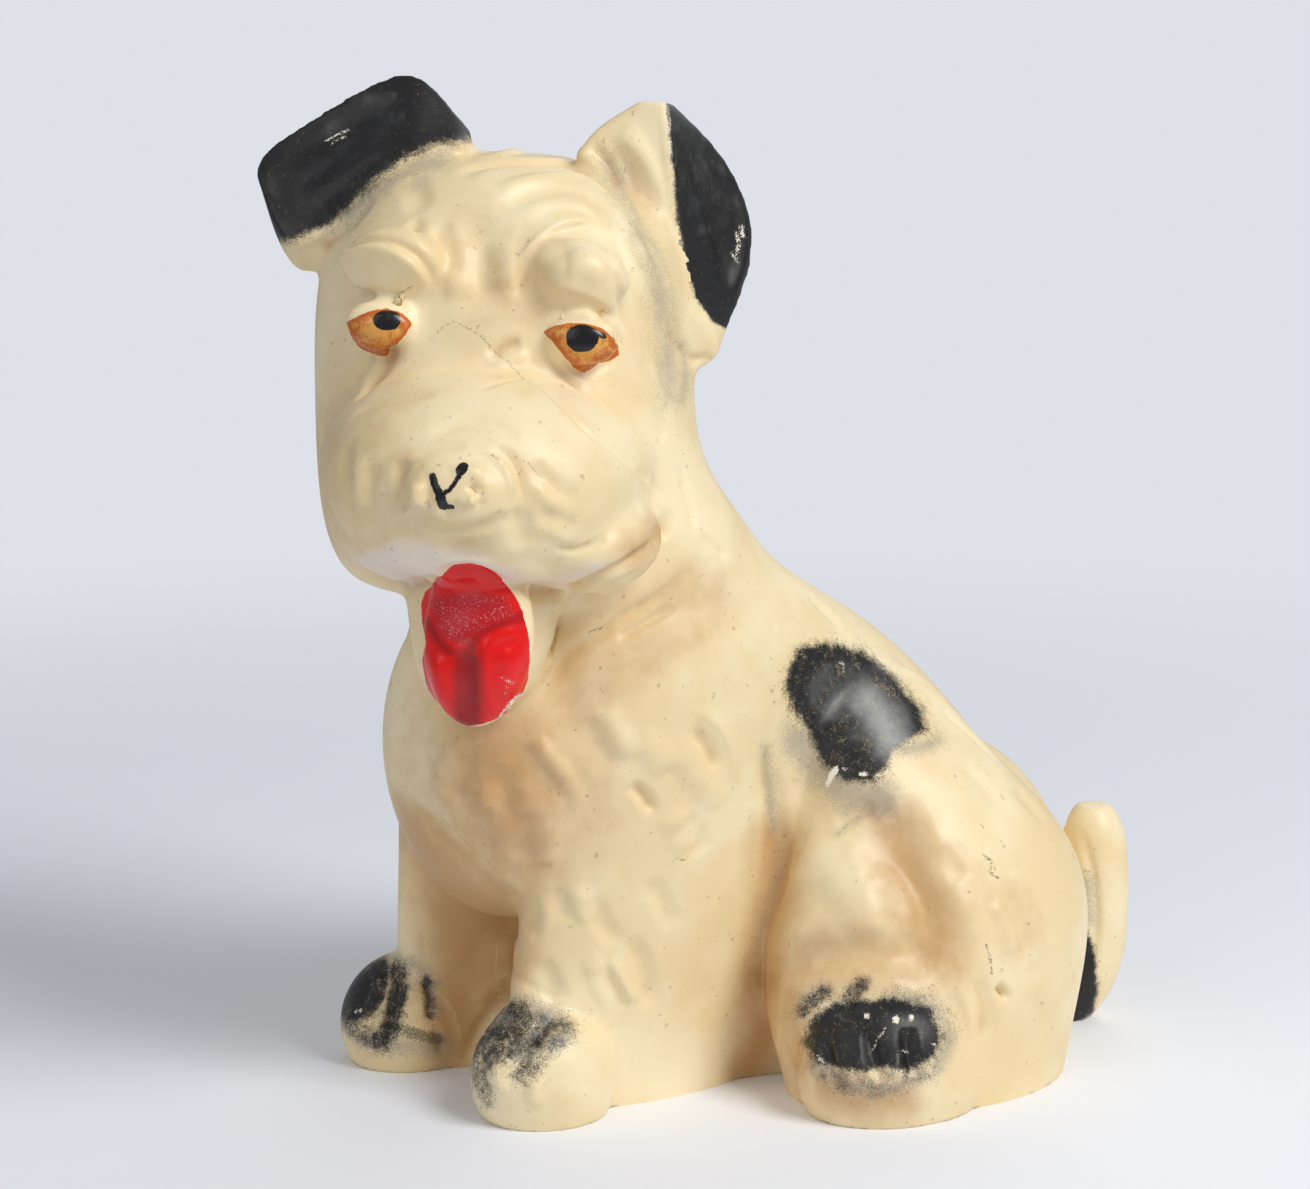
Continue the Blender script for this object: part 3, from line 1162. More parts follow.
@dataclass
class Hindquarters(Form):
    """The haunches, hind feet, rump and tail."""

    hair_width: float = 8.0
    hair_depth: float = 0.8
    hollow_depth: float = 3.6
    toe_width: float = 5.5
    toe_depth: float = 1.8

    def marks(self) -> list[Mark]:
        """Returns the thigh's hollow, the fold above the foot, the toes and the hair."""
        hair = (self.hair_width, self.hair_depth)
        toe = (self.toe_width, self.toe_depth)
        return both_sides([
            groove(22.0, self.hollow_depth, (880, 800), (896, 846), (912, 892), (930, 934), (944, 972)),
            groove(14.0, 2.2, (756, 980), (790, 964), (830, 954), (870, 952), (912, 960), (952, 976)),
            ridge(18.0, 1.6, (800, 850), (832, 868), (860, 896), (878, 930)),
            ridge(14.0, 1.4, (790, 1004), (820, 988), (860, 984), (906, 992), (944, 1012)),
            ridge(10.0, 1.3, (868, 872), (890, 882), (906, 904), (911, 936)),
            groove(*hair, (934, 848), (948, 864), (962, 882)),
            groove(8.0, 1.2, (1004, 894), (1018, 918), (1026, 944), (1026, 962)),
            ridge(*hair, (996, 900), (1008, 926), (1014, 950)),
            groove(*hair, (1014, 788), (1030, 804), (1046, 822)),
            groove(*hair, (958, 760), (980, 782), (1000, 806)),
            groove(*hair, (838, 828), (854, 812), (876, 806)),
            groove(9.0, 1.3, (974, 980), (984, 1008), (984, 1040)),
            ridge(6.0, 1.0, (962, 984), (970, 1010), (970, 1040)),
            groove(*hair, (1030, 990), (1040, 1020), (1038, 1052)),
            groove(3.8, 1.3, (804, 1010), (820, 994), (834, 984)),
            groove(3.8, 1.3, (846, 1010), (858, 994), (868, 982)),
            groove(*toe, (824, 1034), (828, 1060), (842, 1084)),
            groove(*toe, (868, 1028), (874, 1058), (886, 1084)),
            groove(*toe, (908, 1028), (910, 1056), (918, 1078)),
            ridge(8.0, 1.0, (846, 1060), (856, 1080)),
            ridge(8.0, 1.0, (890, 1060), (898, 1078)),
            ridge(7.0, 1.0, (812, 1062), (818, 1082)),
        ]) + [
            groove(4.0, 2.0, (997, 986), (1003, 993), (1009, 1000)),
            groove(4.0, 0.8, (1080, 830), (1092, 870), (1096, 920), (1090, 970)),
        ]

    def patches(self) -> list[Patch]:
        """Returns the black on the hind toes and the tail's root, their chips, and the tan in the hollows."""
        left = ("left_hind_foot", "left_haunch")
        both = left + ("right_hind_foot", "right_haunch")
        ground = both + ("body_casting", "left_foreleg", "right_foreleg")
        tail = ("tail", "rump")
        return both_sides([
            area(Coat.AIRBRUSH, both, (806, 1042), (814, 1020), (834, 1006), (862, 1001), (900, 1002),
                 (926, 1010), (940, 1036), (930, 1058), (908, 1070), (886, 1064), (862, 1070),
                 (836, 1066), (816, 1060), softness=0.9, strength=0.9),
            brush(Coat.AIRBRUSH, both, 3.4, (802, 1012), (812, 1002), (824, 994), softness=0.9,
                  strength=-0.3),
            brush(Coat.AIRBRUSH, both, 3.0, (848, 1000), (856, 990), (864, 984), softness=0.9,
                  strength=-0.5),
            brush(Coat.HAZE, both, 4.0, (802, 1004), (826, 990)),
            brush(Coat.AIRBRUSH, both, 7.0, (836, 1074), (860, 1084), (896, 1076), (920, 1068),
                  strength=-1.6),
            brush(Coat.AIRBRUSH, both, 5.0, (896, 996), (926, 1000), (946, 1030), strength=-2.2),
            brush(Coat.HAZE, both, 9.0, (816, 1066), (850, 1086), (890, 1088), (924, 1074)),
            brush(Coat.HAZE, both, 8.0, (896, 996), (926, 1004), (948, 1036), (936, 1066)),
            area(Coat.TAN, both, (874, 812), (904, 818), (926, 866), (950, 920), (952, 962), (920, 966),
                 (912, 930), (898, 886), (880, 850), softness=2.4, strength=0.8),
            brush(Coat.TAN, both, 13.0, (792, 970), (830, 960), (880, 958), (930, 962), softness=2.2,
                  strength=-0.8),
            brush(Coat.TAN, ground, 15.0, (764, 980), (768, 1010), (762, 1040), (750, 1064),
                  softness=1.3),
            brush(Coat.TAN, both, 12.0, (790, 1000), (790, 1030), (800, 1066), softness=1.8,
                  strength=1.0),
            brush(Coat.TAN, both, 9.0, (826, 1084), (860, 1098), (900, 1098), softness=1.6,
                  strength=0.5),
            brush(Coat.TAN, both, 5.0, (942, 858), (954, 868), (964, 878), softness=1.4, strength=-2.6),
            brush(Coat.TAN, both, 5.0, (1006, 900), (1020, 926), (1026, 952), softness=1.4,
                  strength=-2.6),
        ]) + [
            area(Coat.AIRBRUSH, tail, (1082, 926), (1092, 946), (1096, 985), (1092, 1012), (1070, 1028),
                 (1052, 1020), (1060, 970), softness=0.5),
            brush(Coat.HAZE, tail, 7.0, (1086, 880), (1090, 920), softness=1.4),
            area(Coat.CHIP, left, *oval((867, 1016), 5.0, 6.0)),
            area(Coat.CHIP, left, *oval((896, 1020), 7.0, 8.0)),
            area(Coat.CHIP, left, *oval((911, 1018), 5.0, 8.0)),
            brush(Coat.CHIP, left, 0.9, (876, 1040), (882, 1034), (885, 1028)),
            brush(Coat.CHIP, left, 0.8, (870, 1052), (876, 1044)),
            brush(Coat.CHIP, left, 0.9, (904, 1050), (911, 1052)),
            brush(Coat.CHIP, left, 0.8, (932, 1044), (938, 1046)),
            brush(Coat.CHIP, left, 1.0, (817, 1056), (822, 1062)),
            brush(Coat.GRIME, left, 1.2, (998, 988), (1006, 998)),
            brush(Coat.GRIME, left, 1.5, (984, 856), (992, 862), (990, 872), (998, 878)),
            brush(Coat.GRIME, left, 1.4, (986, 944), (990, 958), (992, 974)),
        ]


@dataclass(frozen=True)
class Edge:
    """Where something fades in, in the unit of the value that it is read from.

    Attributes:
        low: where it begins.
        high: where it is full.
        ragged: how far a noise moves it to and fro.
    """

    low: float
    high: float
    ragged: float = 0.0


@dataclass(frozen=True)
class Cloud:
    """How a cloudy noise looks.

    Attributes:
        size: how wide its clouds are, in millimetres.
        detail: how many finer layers it has.
        roughness: how strongly those show.
    """

    size: float
    detail: float = 3.0
    roughness: float = 0.6


@dataclass(frozen=True)
class Spray:
    """How an airbrush's coat thins towards its edge.

    Attributes:
        edge: where the coat fades in, in millimetres in from its outline.
        spatter: how much its drops break it up.
        patchy: how much wear breaks it up.
        drops_edge: where the broken coat counts as bare and as full.
        faintest: the share under which the coat's last drops fade away.
    """

    edge: Edge
    spatter: float
    patchy: float
    drops_edge: Edge = Edge(0.06, 0.86)
    faintest: float = 0.15


@dataclass(frozen=True)
class Finish:
    """How one slot's painted plaster looks, with its colours linear and its lengths in millimetres.

    Attributes:
        slot: the record's material slot.
        cream: the ground coat.
        pale: the ground coat where it lies thick.
        peach: the tan that shades the ground.
        lip: the pale streak on the upper lip.
        black: the airbrushed black, and the black of nose and pupils.
        bloom: the black where it is thin and dull.
        haze: the airbrush's mist.
        amber: the eyes' rings.
        honey: the eyes' rings where they are thin.
        red: the tongue's enamel.
        deep_red: the enamel in its groove.
        dull_red: the rubbed upper half of the tongue.
        frost: the pale specks where it is rubbed most.
        plaster: the bare plaster in the chips.
        grime: dirt in cracks and pits.
        roughness: how dull the ground coat is.
        enamel_roughness: how dull the brushed colours are.
        chip_roughness: how dull the bare plaster is.
        uneven_gloss: how much the gloss wanders with the ground coat's clouds.
        fold_share: how much tan lies in the deepest folds.
        tan_share: how much tan lies where the airbrush put it.
        haze_share: how dense the mist gets.
        bloom_share: how much of the black is dulled where it is thin.
        lip_share: how much the pale streak on the lip covers.
        deep_share: how much the tongue's groove darkens.
        dull_share: how much the tongue's rubbed half is dulled.
        frost_share: how much the pale specks on it cover.
        speck_share: how dark the specks of dirt are.
        grime_share: how dark the dirt in the cracks is.
        cloud_edge: where the ground coat's clouds turn pale.
        fold_edge: how deep a fold is that begins to hold tan, and that is full of it.
        tan_edge, lip_edge, thin_edge: where those coats fade in, in millimetres from their outlines.
        chip_edge, red_edge, amber_edge, ink_edge, ink_gloss_edge: the same for chips and brushed colours.
        honey_edge: where the amber is thin.
        deep_edge, dull_edge, frost_edge: where the tongue is dark, rubbed and specked.
        speck_edge, grime_edge: where dirt lies.
        haze_spray, black_spray: how the mist and the black are sprayed.
        mottle: the ground coat's clouds.
        wave: the waves in a coat's edge.
        streak: a brush's streaks.
        stipple: the airbrush's drops.
        speck: the specks of dirt.
        grain: the plaster's grain.
        grain_height: the height of the plaster's grain.
        grain_strength: how strongly the grain shows.
        wave_relief: how much the coat's waves rise beside the grain.
        chip_relief: how much the chips lie lower beside the grain.
    """

    slot: Slot
    cream: Colour = (0.87, 0.69, 0.39)
    pale: Colour = (0.95, 0.81, 0.53)
    peach: Colour = (0.52, 0.26, 0.075)
    lip: Colour = (0.86, 0.76, 0.70)
    black: Colour = (0.008, 0.008, 0.009)
    bloom: Colour = (0.40, 0.41, 0.40)
    haze: Colour = (0.15, 0.17, 0.19)
    amber: Colour = (0.56, 0.13, 0.012)
    honey: Colour = (0.80, 0.38, 0.08)
    red: Colour = (0.80, 0.003, 0.002)
    deep_red: Colour = (0.26, 0.001, 0.002)
    dull_red: Colour = (0.45, 0.012, 0.02)
    frost: Colour = (0.80, 0.45, 0.45)
    plaster: Colour = (0.90, 0.84, 0.70)
    grime: Colour = (0.07, 0.06, 0.035)
    roughness: float = 0.42
    enamel_roughness: float = 0.22
    chip_roughness: float = 0.8
    uneven_gloss: float = 0.12
    fold_share: float = 0.60
    tan_share: float = 0.80
    haze_share: float = 0.50
    bloom_share: float = 0.9
    lip_share: float = 0.7
    deep_share: float = 0.85
    dull_share: float = 0.8
    frost_share: float = 0.6
    speck_share: float = 0.35
    grime_share: float = 0.75
    cloud_edge: Edge = Edge(-0.14, 0.16)
    fold_edge: Edge = Edge(0.10, 0.95)
    tan_edge: Edge = Edge(-4.5, 2.5, 3.0)
    lip_edge: Edge = Edge(-1.0, 1.2, 2.0)
    thin_edge: Edge = Edge(-4.0, 3.0, 4.0)
    chip_edge: Edge = Edge(-0.12, 0.14, 1.4)
    red_edge: Edge = Edge(-0.12, 0.14, 0.6)
    amber_edge: Edge = Edge(-0.12, 0.14, 0.9)
    ink_edge: Edge = Edge(-0.12, 0.14, 1.1)
    ink_gloss_edge: Edge = Edge(-0.12, 0.14, 0.6)
    honey_edge: Edge = Edge(0.04, 0.36, 0.09)
    deep_edge: Edge = Edge(-1.2, 1.6)
    dull_edge: Edge = Edge(-1.0, 2.0)
    frost_edge: Edge = Edge(0.08, 0.26, 0.5)
    speck_edge: Edge = Edge(0.16, 0.24)
    grime_edge: Edge = Edge(-0.15, 0.25, 1.2)
    haze_spray: Spray = Spray(Edge(-5.0, 3.5, 2.4), 1.1, 0.3)
    black_spray: Spray = Spray(Edge(-5.0, 1.6, 2.4), 0.9, 0.9)
    mottle: Cloud = Cloud(26.0, 4.0, 0.55)
    wave: Cloud = Cloud(5.0, 2.0, 0.55)
    streak: Cloud = Cloud(1.6, 3.0, 0.7)
    stipple: Cloud = Cloud(0.32, 1.0, 0.55)
    speck: Cloud = Cloud(2.4)
    grain: Cloud = Cloud(1.1)
    grain_height: float = 0.05
    grain_strength: float = 0.6
    wave_relief: float = 1.5
    chip_relief: float = -3.0


class Shader:
    """A material's node tree while it is being put together."""

    def __init__(self, name: str) -> None:
        """Starts a material.

        Args:
            name: the material's name.
        """
        self.material = bpy.data.materials.new(name)
        self.material.use_nodes = True
        self.tree = self.material.node_tree
        self.tree.nodes.clear()
        self.place = self.node("ShaderNodeTexCoord").outputs["Object"]

    def node(self, kind: str, settings: dict[str, str] | None = None, **inputs: Value) -> bpy.types.Node:
        """Adds a node.

        Args:
            kind: the node's type.
            settings: values of the node's own properties.
            inputs: sockets by name, with a blank written as an underscore, or by number after an i.

        Returns:
            The node.
        """
        made = self.tree.nodes.new(kind)
        for key, value in (settings or {}).items():
            setattr(made, key, value)
        for key, value in inputs.items():
            numbered = key[0] == "i" and key[1:].isdigit()
            socket = made.inputs[int(key[1:])] if numbered else made.inputs[key.replace("_", " ")]
            if isinstance(value, bpy.types.NodeSocket):
                self.tree.links.new(value, socket)
            else:
                socket.default_value = value
        return made

    def math(self, operation: str, *values: Value) -> bpy.types.NodeSocket:
        """Returns the outcome of a sum on one to three values."""
        inputs = {f"i{number}": value for number, value in enumerate(values)}
        return self.node("ShaderNodeMath", {"operation": operation}, **inputs).outputs[0]

    def times(self, first: Value, second: Value) -> bpy.types.NodeSocket:
        """Returns the product of two values."""
        return self.math("MULTIPLY", first, second)

    def plus(self, value: Value, more: Value, share: float = 1.0) -> bpy.types.NodeSocket:
        """Returns the value with a share of another added."""
        return self.math("MULTIPLY_ADD", more, share, value)

    def most(self, *values: Value) -> bpy.types.NodeSocket:
        """Returns the largest of some values."""
        largest = values[0]
        for value in values[1:]:
            largest = self.math("MAXIMUM", largest, value)
        return largest

    def mix(self, share: Value, first: Value, second: Value) -> bpy.types.NodeSocket:
        """Returns a colour that goes from the first to the second with the share."""
        colours = [(*value, 1.0) if isinstance(value, tuple) else value for value in (first, second)]
        made = self.node("ShaderNodeMix", {"data_type": "RGBA"}, i0=share, i6=colours[0], i7=colours[1])
        return made.outputs[2]

    def step(self, value: Value, low: float, high: float) -> bpy.types.NodeSocket:
        """Returns 0 where the value is under low, 1 where it is over high, and a smooth rise between them."""
        return self.node(
            "ShaderNodeMapRange", {"interpolation_type": "SMOOTHSTEP"},
            Value=value, From_Min=low, From_Max=high, To_Min=0.0, To_Max=1.0,
        ).outputs[0]

    def noise(self, cloud: Cloud) -> bpy.types.NodeSocket:
        """Returns a cloudy value about 0."""
        clouds = self.node(
            "ShaderNodeTexNoise", Vector=self.place, Scale=1.0 / (cloud.size * MM), Detail=cloud.detail,
            Roughness=cloud.roughness,
        )
        return self.math("SUBTRACT", clouds.outputs[0], 0.5)

    def reading(self, name: str) -> bpy.types.NodeSocket:
        """Returns a value that the mesh keeps at its points."""
        return self.node("ShaderNodeAttribute", {"attribute_name": name}).outputs["Fac"]


class Paint(Shader):
    """Painted plaster: the ground coat, the airbrush, the brushed colours, the dirt and the chips."""

    def __init__(self, finish: Finish) -> None:
        """Puts the coats on, one over another.

        Args:
            finish: the slot's colours and textures.
        """
        super().__init__(finish.slot.value)
        self.finish = finish
        self.mottle = self.noise(finish.mottle)
        self.wave = self.noise(finish.wave)
        self.streak = self.noise(finish.streak)
        self.stipple = self.noise(finish.stipple)
        self.chips = self.laid(Coat.CHIP, self.stipple, finish.chip_edge)
        self.enamel = self.most(
            self.laid(Coat.RED, self.streak, finish.red_edge),
            self.laid(Coat.AMBER, self.streak, finish.amber_edge),
            self.laid(Coat.INK, self.streak, finish.ink_gloss_edge),
        )
        self._cover(self._wear(self._brushwork(self._airbrush(self._ground()))))

    def laid(self, coat: Coat, noise: Value, edge: Edge) -> bpy.types.NodeSocket:
        """Returns how much a coat covers a place.

        Args:
            coat: the coat.
            noise: the noise that breaks its edge.
            edge: where the coat begins and is full, and how ragged it is.

        Returns:
            A socket from 0 outside the coat to 1 inside it.
        """
        return self.within(self.reading(coat.value), noise, edge)

    def within(self, value: Value, noise: Value, edge: Edge) -> bpy.types.NodeSocket:
        """Returns 0 to 1 for how far a value, moved by a noise, lies within an edge."""
        return self.step(self.plus(value, noise, edge.ragged), edge.low, edge.high)

    def sprayed(self, coat: Coat, spray: Spray) -> bpy.types.NodeSocket:
        """Returns how much a sprayed coat covers a place.

        Args:
            coat: the coat.
            spray: how it thins and breaks up towards its edge.

        Returns:
            A socket from 0 to 1.
        """
        share = self.laid(coat, self.wave, spray.edge)
        dense = self.times(share, share)
        drops = self.plus(self.plus(dense, self.stipple, spray.spatter), self.streak, spray.patchy)
        cut = self.step(drops, spray.drops_edge.low, spray.drops_edge.high)
        return self.times(cut, self.step(share, 0.0, spray.faintest))

    def _ground(self) -> bpy.types.NodeSocket:
        """Returns the cream coat with its clouds, the tan on it and the pale streak on the lip."""
        finish = self.finish
        clouds = self.step(self.mottle, finish.cloud_edge.low, finish.cloud_edge.high)
        colour = self.mix(clouds, finish.cream, finish.pale)
        fold = self.step(self.reading("hollow"), finish.fold_edge.low, finish.fold_edge.high)
        tan = self.laid(Coat.TAN, self.wave, finish.tan_edge)
        shaded = self.most(self.times(fold, finish.fold_share), self.times(tan, finish.tan_share))
        colour = self.mix(shaded, colour, finish.peach)
        lip = self.laid(Coat.PALE, self.streak, finish.lip_edge)
        return self.mix(self.times(lip, finish.lip_share), colour, finish.lip)

    def _airbrush(self, colour: Value) -> bpy.types.NodeSocket:
        """Returns the colour under the airbrush's mist and its black."""
        finish = self.finish
        haze = self.times(self.sprayed(Coat.HAZE, finish.haze_spray), finish.haze_share)
        colour = self.mix(haze, colour, finish.haze)
        thin = self.laid(Coat.THIN, self.wave, finish.thin_edge)
        tone = self.mix(self.times(thin, finish.bloom_share), finish.black, finish.bloom)
        return self.mix(self.sprayed(Coat.AIRBRUSH, finish.black_spray), colour, tone)

    def _brushwork(self, colour: Value) -> bpy.types.NodeSocket:
        """Returns the colour under the amber, the red and the black that a brush put on."""
        finish = self.finish
        tone = self.within(self.streak, self.reading(Coat.AMBER.value), finish.honey_edge)
        amber = self.mix(tone, finish.amber, finish.honey)
        colour = self.mix(self.laid(Coat.AMBER, self.streak, finish.amber_edge), colour, amber)
        deep = self.laid(Coat.DEEP, self.streak, finish.deep_edge)
        red = self.mix(self.times(deep, finish.deep_share), finish.red, finish.deep_red)
        rubbed = self.laid(Coat.DULL, self.streak, finish.dull_edge)
        red = self.mix(self.times(rubbed, finish.dull_share), red, finish.dull_red)
        specks = self.within(self.stipple, self.streak, finish.frost_edge)
        red = self.mix(self.times(self.times(specks, rubbed), finish.frost_share), red, finish.frost)
        colour = self.mix(self.laid(Coat.RED, self.streak, finish.red_edge), colour, red)
        return self.mix(self.laid(Coat.INK, self.streak, finish.ink_edge), colour, finish.black)

    def _wear(self, colour: Value) -> bpy.types.NodeSocket:
        """Returns the colour with specks, with dirt in the cracks and with the plaster bare in the chips."""
        finish = self.finish
        specks = self.step(self.noise(finish.speck), finish.speck_edge.low, finish.speck_edge.high)
        colour = self.mix(self.times(specks, finish.speck_share), colour, finish.grime)
        dirt = self.laid(Coat.GRIME, self.stipple, finish.grime_edge)
        colour = self.mix(self.times(dirt, finish.grime_share), colour, finish.grime)
        return self.mix(self.chips, colour, finish.plaster)

    def _cover(self, colour: Value) -> None:
        """Gives the surface its colour, its gloss and its grain."""
        finish = self.finish
        gloss = finish.enamel_roughness - finish.roughness
        rough = self.plus(self.plus(finish.roughness, self.mottle, finish.uneven_gloss), self.enamel, gloss)
        rough = self.plus(rough, self.chips, finish.chip_roughness - finish.roughness)
        relief = self.plus(self.noise(finish.grain), self.wave, finish.wave_relief)
        relief = self.plus(relief, self.chips, finish.chip_relief)
        bump = self.node(
            "ShaderNodeBump", Strength=finish.grain_strength, Distance=finish.grain_height * MM,
            Height=relief,
        )
        surface = self.node(
            "ShaderNodeBsdfPrincipled", Base_Color=colour, Roughness=rough, Normal=bump.outputs[0],
        )
        self.node("ShaderNodeOutputMaterial", Surface=surface.outputs[0])


@dataclass
class Figure:
    """The whole dog: its skin, the sub-assemblies that mark and paint it, and the shells it is parted into.

    Attributes:
        wall: the shells' thickness, in millimetres.
        body_wall: the thickness of the shell that has the pour hole, in millimetres.
        hole_radius: the pour hole's radius, in millimetres.
        hole_reach: how far out a point may lie to be drawn to the hole's edge, as a share of its radius.
        crease_angle: the angle from which an edge is shaded sharp, in degrees.
        unpainted: the depth, in millimetres, that says that a coat isn't there.
        blur_rounds: how many rounds of smoothing level the folds, to tell how deep a place lies in one.
        hollow_rounds: how many rounds of smoothing that depth gets.
        crisp_rounds: how many rounds of smoothing blur the crisp pieces' edge.
        melted_rounds: how many rounds of smoothing blur the melted pieces' edge.
        deepest: the most that a place may count as lying in a fold, in millimetres.
        crisp: the share of the softening that the pieces with thin edges are spared.
        melted: how much some pieces run into what they stand on.
        skin: the figure's skin.
        forms: the sub-assemblies.
    """

    wall: float = 2.0
    body_wall: float = 6.0
    hole_radius: float = 13.0
    hole_reach: float = 1.2
    crease_angle: float = 75.0
    unpainted: float = -9.0
    blur_rounds: int = 30
    hollow_rounds: int = 5
    crisp_rounds: int = 6
    melted_rounds: int = 36
    deepest: float = 2.0
    crisp: dict[str, float] = field(default_factory=lambda: {
        "left_ear": 0.15, "right_ear": 0.15, "left_eye": 0.3, "right_eye": 0.3,
    })
    melted: dict[str, float] = field(default_factory=lambda: {
        "left_brow": 1.0, "right_brow": 0.5, "nose": 0.1, "left_ear": 0.06, "right_ear": 0.06,
    })
    skin: Skin = field(default_factory=Skin)
    forms: tuple[Form, ...] = (
        Forehead(), Face(), Eyes(), Ears(), Tongue(), Chest(), Forelegs(), Hindquarters(),
    )

    def model(self, nodes: dict[str, bpy.types.Object]) -> None:
        """Makes the skin and presses every sub-assembly's marks into it.

        Args:
            nodes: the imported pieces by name.
        """
        skin = self.skin
        skin.build(nodes)
        crisp = skin.shares(self.crisp, self.crisp_rounds)
        skin.soften(crisp, skin.shares(self.melted, self.melted_rounds))
        for form in self.forms:
            marks = form.marks()
            for mark in marks:
                skin.press(mark)
            log.info("%s: %d marks", type(form).__name__, len(marks))
        skin.settle()

    def colour(self) -> None:
        """Lays every sub-assembly's patches, and keeps them with how deep each place lies in a fold."""
        skin = self.skin
        coats = {coat: np.full(len(skin.points), self.unpainted) for coat in Coat}
        for form in self.forms:
            patches = form.patches()
            for patch in patches:
                skin.lay(patch, coats)
            log.info("%s: %d patches", type(form).__name__, len(patches))
        for coat, depths in coats.items():
            skin.keep(coat.value, depths)
        level = skin.blurred(skin.points, self.blur_rounds)
        hollow = np.einsum("ij,ij->i", level - skin.points, skin.normals)
        skin.keep("hollow", np.clip(skin.blurred(hollow, self.hollow_rounds), 0.0, self.deepest))

    def part(self, slots: dict[str, Slot], materials: dict[Slot, bpy.types.Material]) -> None:
        """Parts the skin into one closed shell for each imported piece.

        Args:
            slots: each piece's material slot.
            materials: each slot's material.
        """
        skin = self.skin
        for number, name in enumerate(skin.names):
            work = bmesh.new()
            work.from_mesh(skin.mesh)
            others = [face for face in work.faces if skin.face_piece[face.index] != number]
            bmesh.ops.delete(work, geom=others, context="FACES")
            if name == "body_casting":
                self._open_hole(work)
            shell = bpy.data.meshes.new(name)
            work.to_mesh(shell)
            work.free()
            self._finish(name, shell, materials[slots[name]])

    def _open_hole(self, work: bmesh.types.BMesh) -> None:
        """Opens the pour hole in the base and draws its edge into a circle."""
        radius = self.hole_radius * MM
        level = self.skin.near * MM
        inside = [
            face for face in work.faces
            if face.calc_center_median().z < level and face.calc_center_median().xy.length < radius
        ]
        bmesh.ops.delete(work, geom=inside, context="FACES")
        for vertex in work.verts:
            if vertex.is_boundary and vertex.co.z < level and vertex.co.xy.length < radius * self.hole_reach:
                vertex.co.xy = vertex.co.xy.normalized() * radius

    def _finish(self, name: str, shell: bpy.types.Mesh, material: bpy.types.Material) -> None:
        """Gives a piece its wall and hands it to the frame.

        Args:
            name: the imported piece's name.
            shell: the piece's part of the skin.
            material: the slot's material.
        """
        shell.materials.clear()
        shell.materials.append(material)
        piece = bpy.data.objects.new(f"{name}_skin", shell)
        bpy.context.scene.collection.objects.link(piece)
        wall = piece.modifiers.new("wall", "SOLIDIFY")
        wall.thickness = (self.body_wall if name == "body_casting" else self.wall) * MM
        wall.offset = -1.0
        wall.use_rim = True
        graph = bpy.context.evaluated_depsgraph_get()
        solid = bpy.data.meshes.new_from_object(piece.evaluated_get(graph))
        piece.modifiers.clear()
        piece.data = solid
        solid.shade_smooth()
        solid.set_sharp_from_angle(angle=math.radians(self.crease_angle))
        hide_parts(name)
        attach(piece, "root")
        log.info("%s: %d faces", piece.name, len(solid.polygons))


@dataclass(frozen=True)
class Lamp:
    """A soft lamp that is aimed at the figure.

    Attributes:
        name: the lamp's name.
        place: where it hangs, in metres.
        size: its width, in metres.
        watts: its power.
        tint: its colour.
    """

    name: str
    place: tuple[float, float, float]
    size: float
    watts: float
    tint: Colour = (1.0, 1.0, 1.0)

    def hang(self) -> None:
        """Sets the lamp up."""
        data = bpy.data.lights.new(self.name, "AREA")
        data.size = self.size
        data.energy = self.watts
        data.color = self.tint
        lamp = bpy.data.objects.new(self.name, data)
        lamp.location = self.place
        aim = Vector((0.0, 0.0, PHOTO.aim_height * MM)) - Vector(self.place)
        lamp.rotation_euler = aim.to_track_quat("-Z", "Y").to_euler()
        bpy.context.scene.collection.objects.link(lamp)


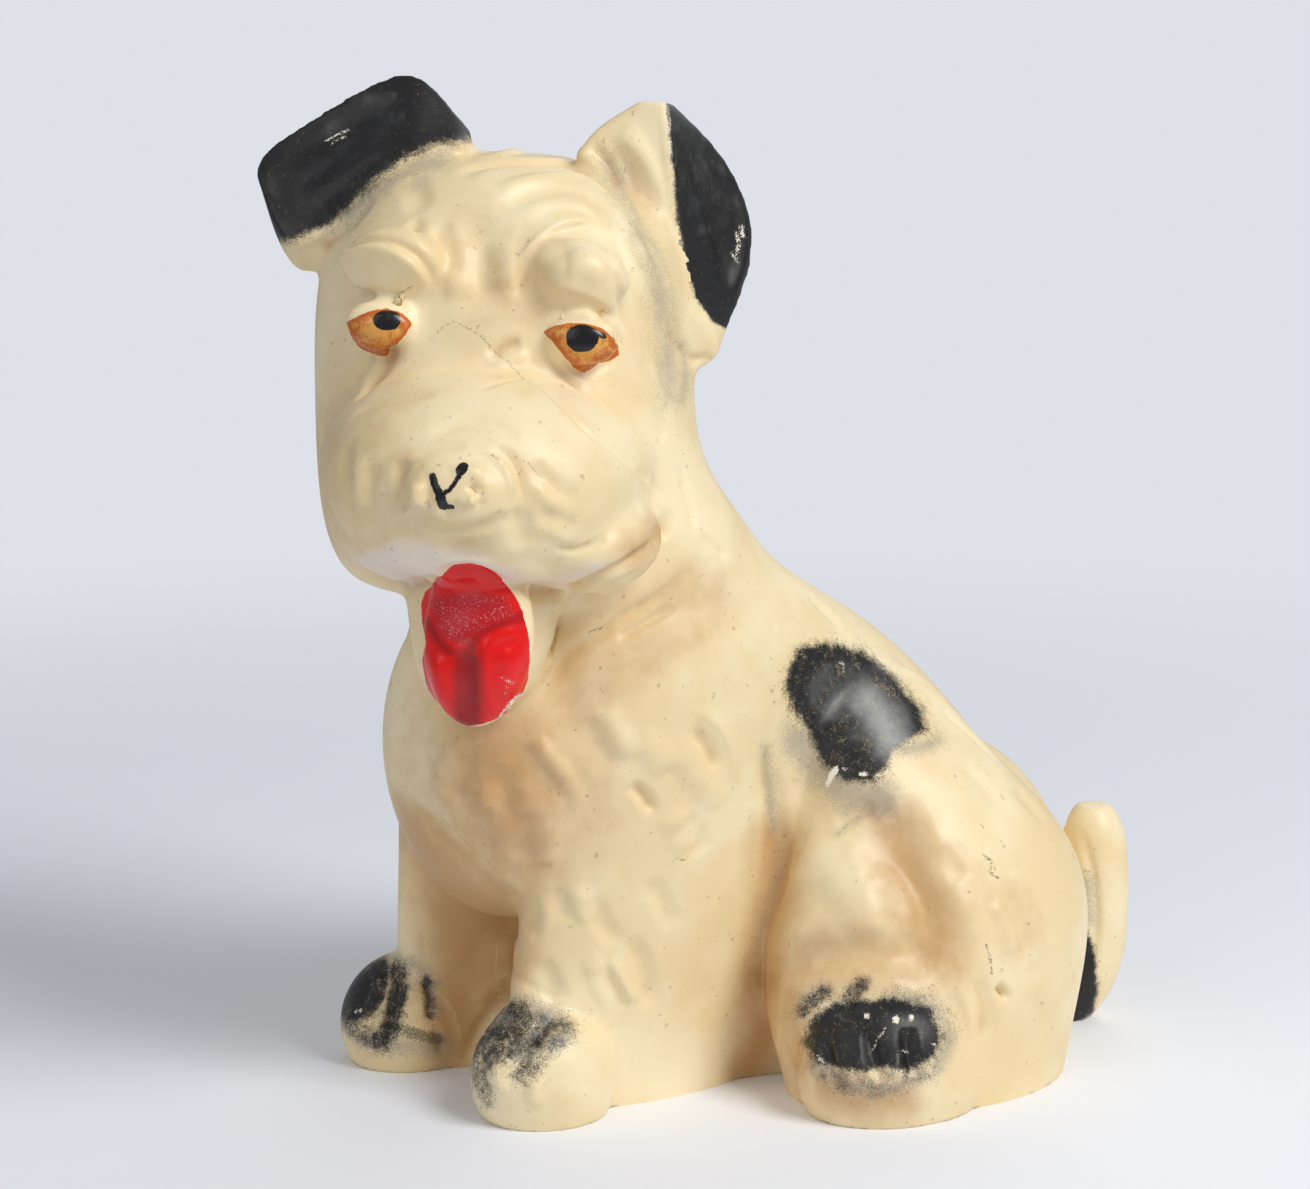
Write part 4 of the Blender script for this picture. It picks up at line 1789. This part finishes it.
@dataclass
class Studio:
    """A pale sheet of paper that fades into a pale room, and soft lamps. Lengths are in metres.

    Attributes:
        paper: the paper's colour.
        paper_roughness: how dull the paper is.
        paper_size: half the sheet's width.
        fade_start: how far from the figure the paper begins to fade.
        fade_end: how far from the figure it is gone.
        room: the colour of the room's light.
        room_strength: how bright the room's light is.
        backdrop: the colour that the camera sees behind everything.
        lamps: the soft lamps.
    """

    paper: Colour = (0.90, 0.93, 1.0)
    paper_roughness: float = 0.9
    paper_size: float = 1.0
    fade_start: float = 0.22
    fade_end: float = 0.80
    room: Colour = (0.93, 0.95, 1.0)
    room_strength: float = 0.32
    backdrop: Colour = (0.73, 0.75, 0.80)
    lamps: tuple[Lamp, ...] = (
        Lamp("window", (0.95, 0.35, 1.0), 0.6, 12.5, (1.0, 0.99, 0.96)),
        Lamp("front", (0.35, -1.1, 0.75), 1.0, 2.6),
        Lamp("back", (-0.8, 0.9, 0.9), 0.9, 2.4),
    )

    def build(self) -> None:
        """Lays the paper, hangs the lamps and lights the room."""
        self._lay_paper()
        for lamp in self.lamps:
            lamp.hang()
        self._light_room()
        bpy.context.scene.view_settings.view_transform = "Standard"

    def _lay_paper(self) -> None:
        """Lays the sheet of paper on the ground."""
        work = bmesh.new()
        bmesh.ops.create_grid(work, x_segments=1, y_segments=1, size=self.paper_size)
        mesh = bpy.data.meshes.new("floor")
        work.to_mesh(mesh)
        work.free()
        floor = bpy.data.objects.new("floor", mesh)
        bpy.context.scene.collection.objects.link(floor)
        shader = Shader("paper")
        away = shader.node("ShaderNodeVectorMath", {"operation": "LENGTH"}, i0=shader.place).outputs["Value"]
        sheet = shader.node(
            "ShaderNodeBsdfPrincipled", Base_Color=(*self.paper, 1.0), Roughness=self.paper_roughness,
        )
        clear = shader.node("ShaderNodeBsdfTransparent")
        faded = shader.node(
            "ShaderNodeMixShader", i0=shader.step(away, self.fade_start, self.fade_end),
            i1=sheet.outputs[0], i2=clear.outputs[0],
        )
        shader.node("ShaderNodeOutputMaterial", Surface=faded.outputs[0])
        mesh.materials.append(shader.material)

    def _light_room(self) -> None:
        """Gives the room its light, and the camera a plain backdrop."""
        world = bpy.data.worlds.new("room")
        world.use_nodes = True
        tree = world.node_tree
        tree.nodes.clear()
        path = tree.nodes.new("ShaderNodeLightPath")
        light = tree.nodes.new("ShaderNodeBackground")
        light.inputs["Color"].default_value = (*self.room, 1.0)
        light.inputs["Strength"].default_value = self.room_strength
        seen = tree.nodes.new("ShaderNodeBackground")
        seen.inputs["Color"].default_value = (*self.backdrop, 1.0)
        chosen = tree.nodes.new("ShaderNodeMixShader")
        out = tree.nodes.new("ShaderNodeOutputWorld")
        tree.links.new(path.outputs["Is Camera Ray"], chosen.inputs[0])
        tree.links.new(light.outputs[0], chosen.inputs[1])
        tree.links.new(seen.outputs[0], chosen.inputs[2])
        tree.links.new(chosen.outputs[0], out.inputs["Surface"])
        bpy.context.scene.world = world


def main() -> None:
    """Builds the figure and its studio, and reports each piece."""
    logging.basicConfig(level=logging.INFO, format="%(name)s: %(message)s")
    slots = {part["node"]: Slot(part["material_slot"]) for part in frame["record"]["subparts"]}
    materials = {slot: Paint(Finish(slot)).material for slot in Slot}
    figure = Figure()
    figure.model(frame["nodes"])
    figure.colour()
    figure.part(slots, materials)
    Studio().build()
    PHOTO.stand()


if __name__ == "__main__":
    main()
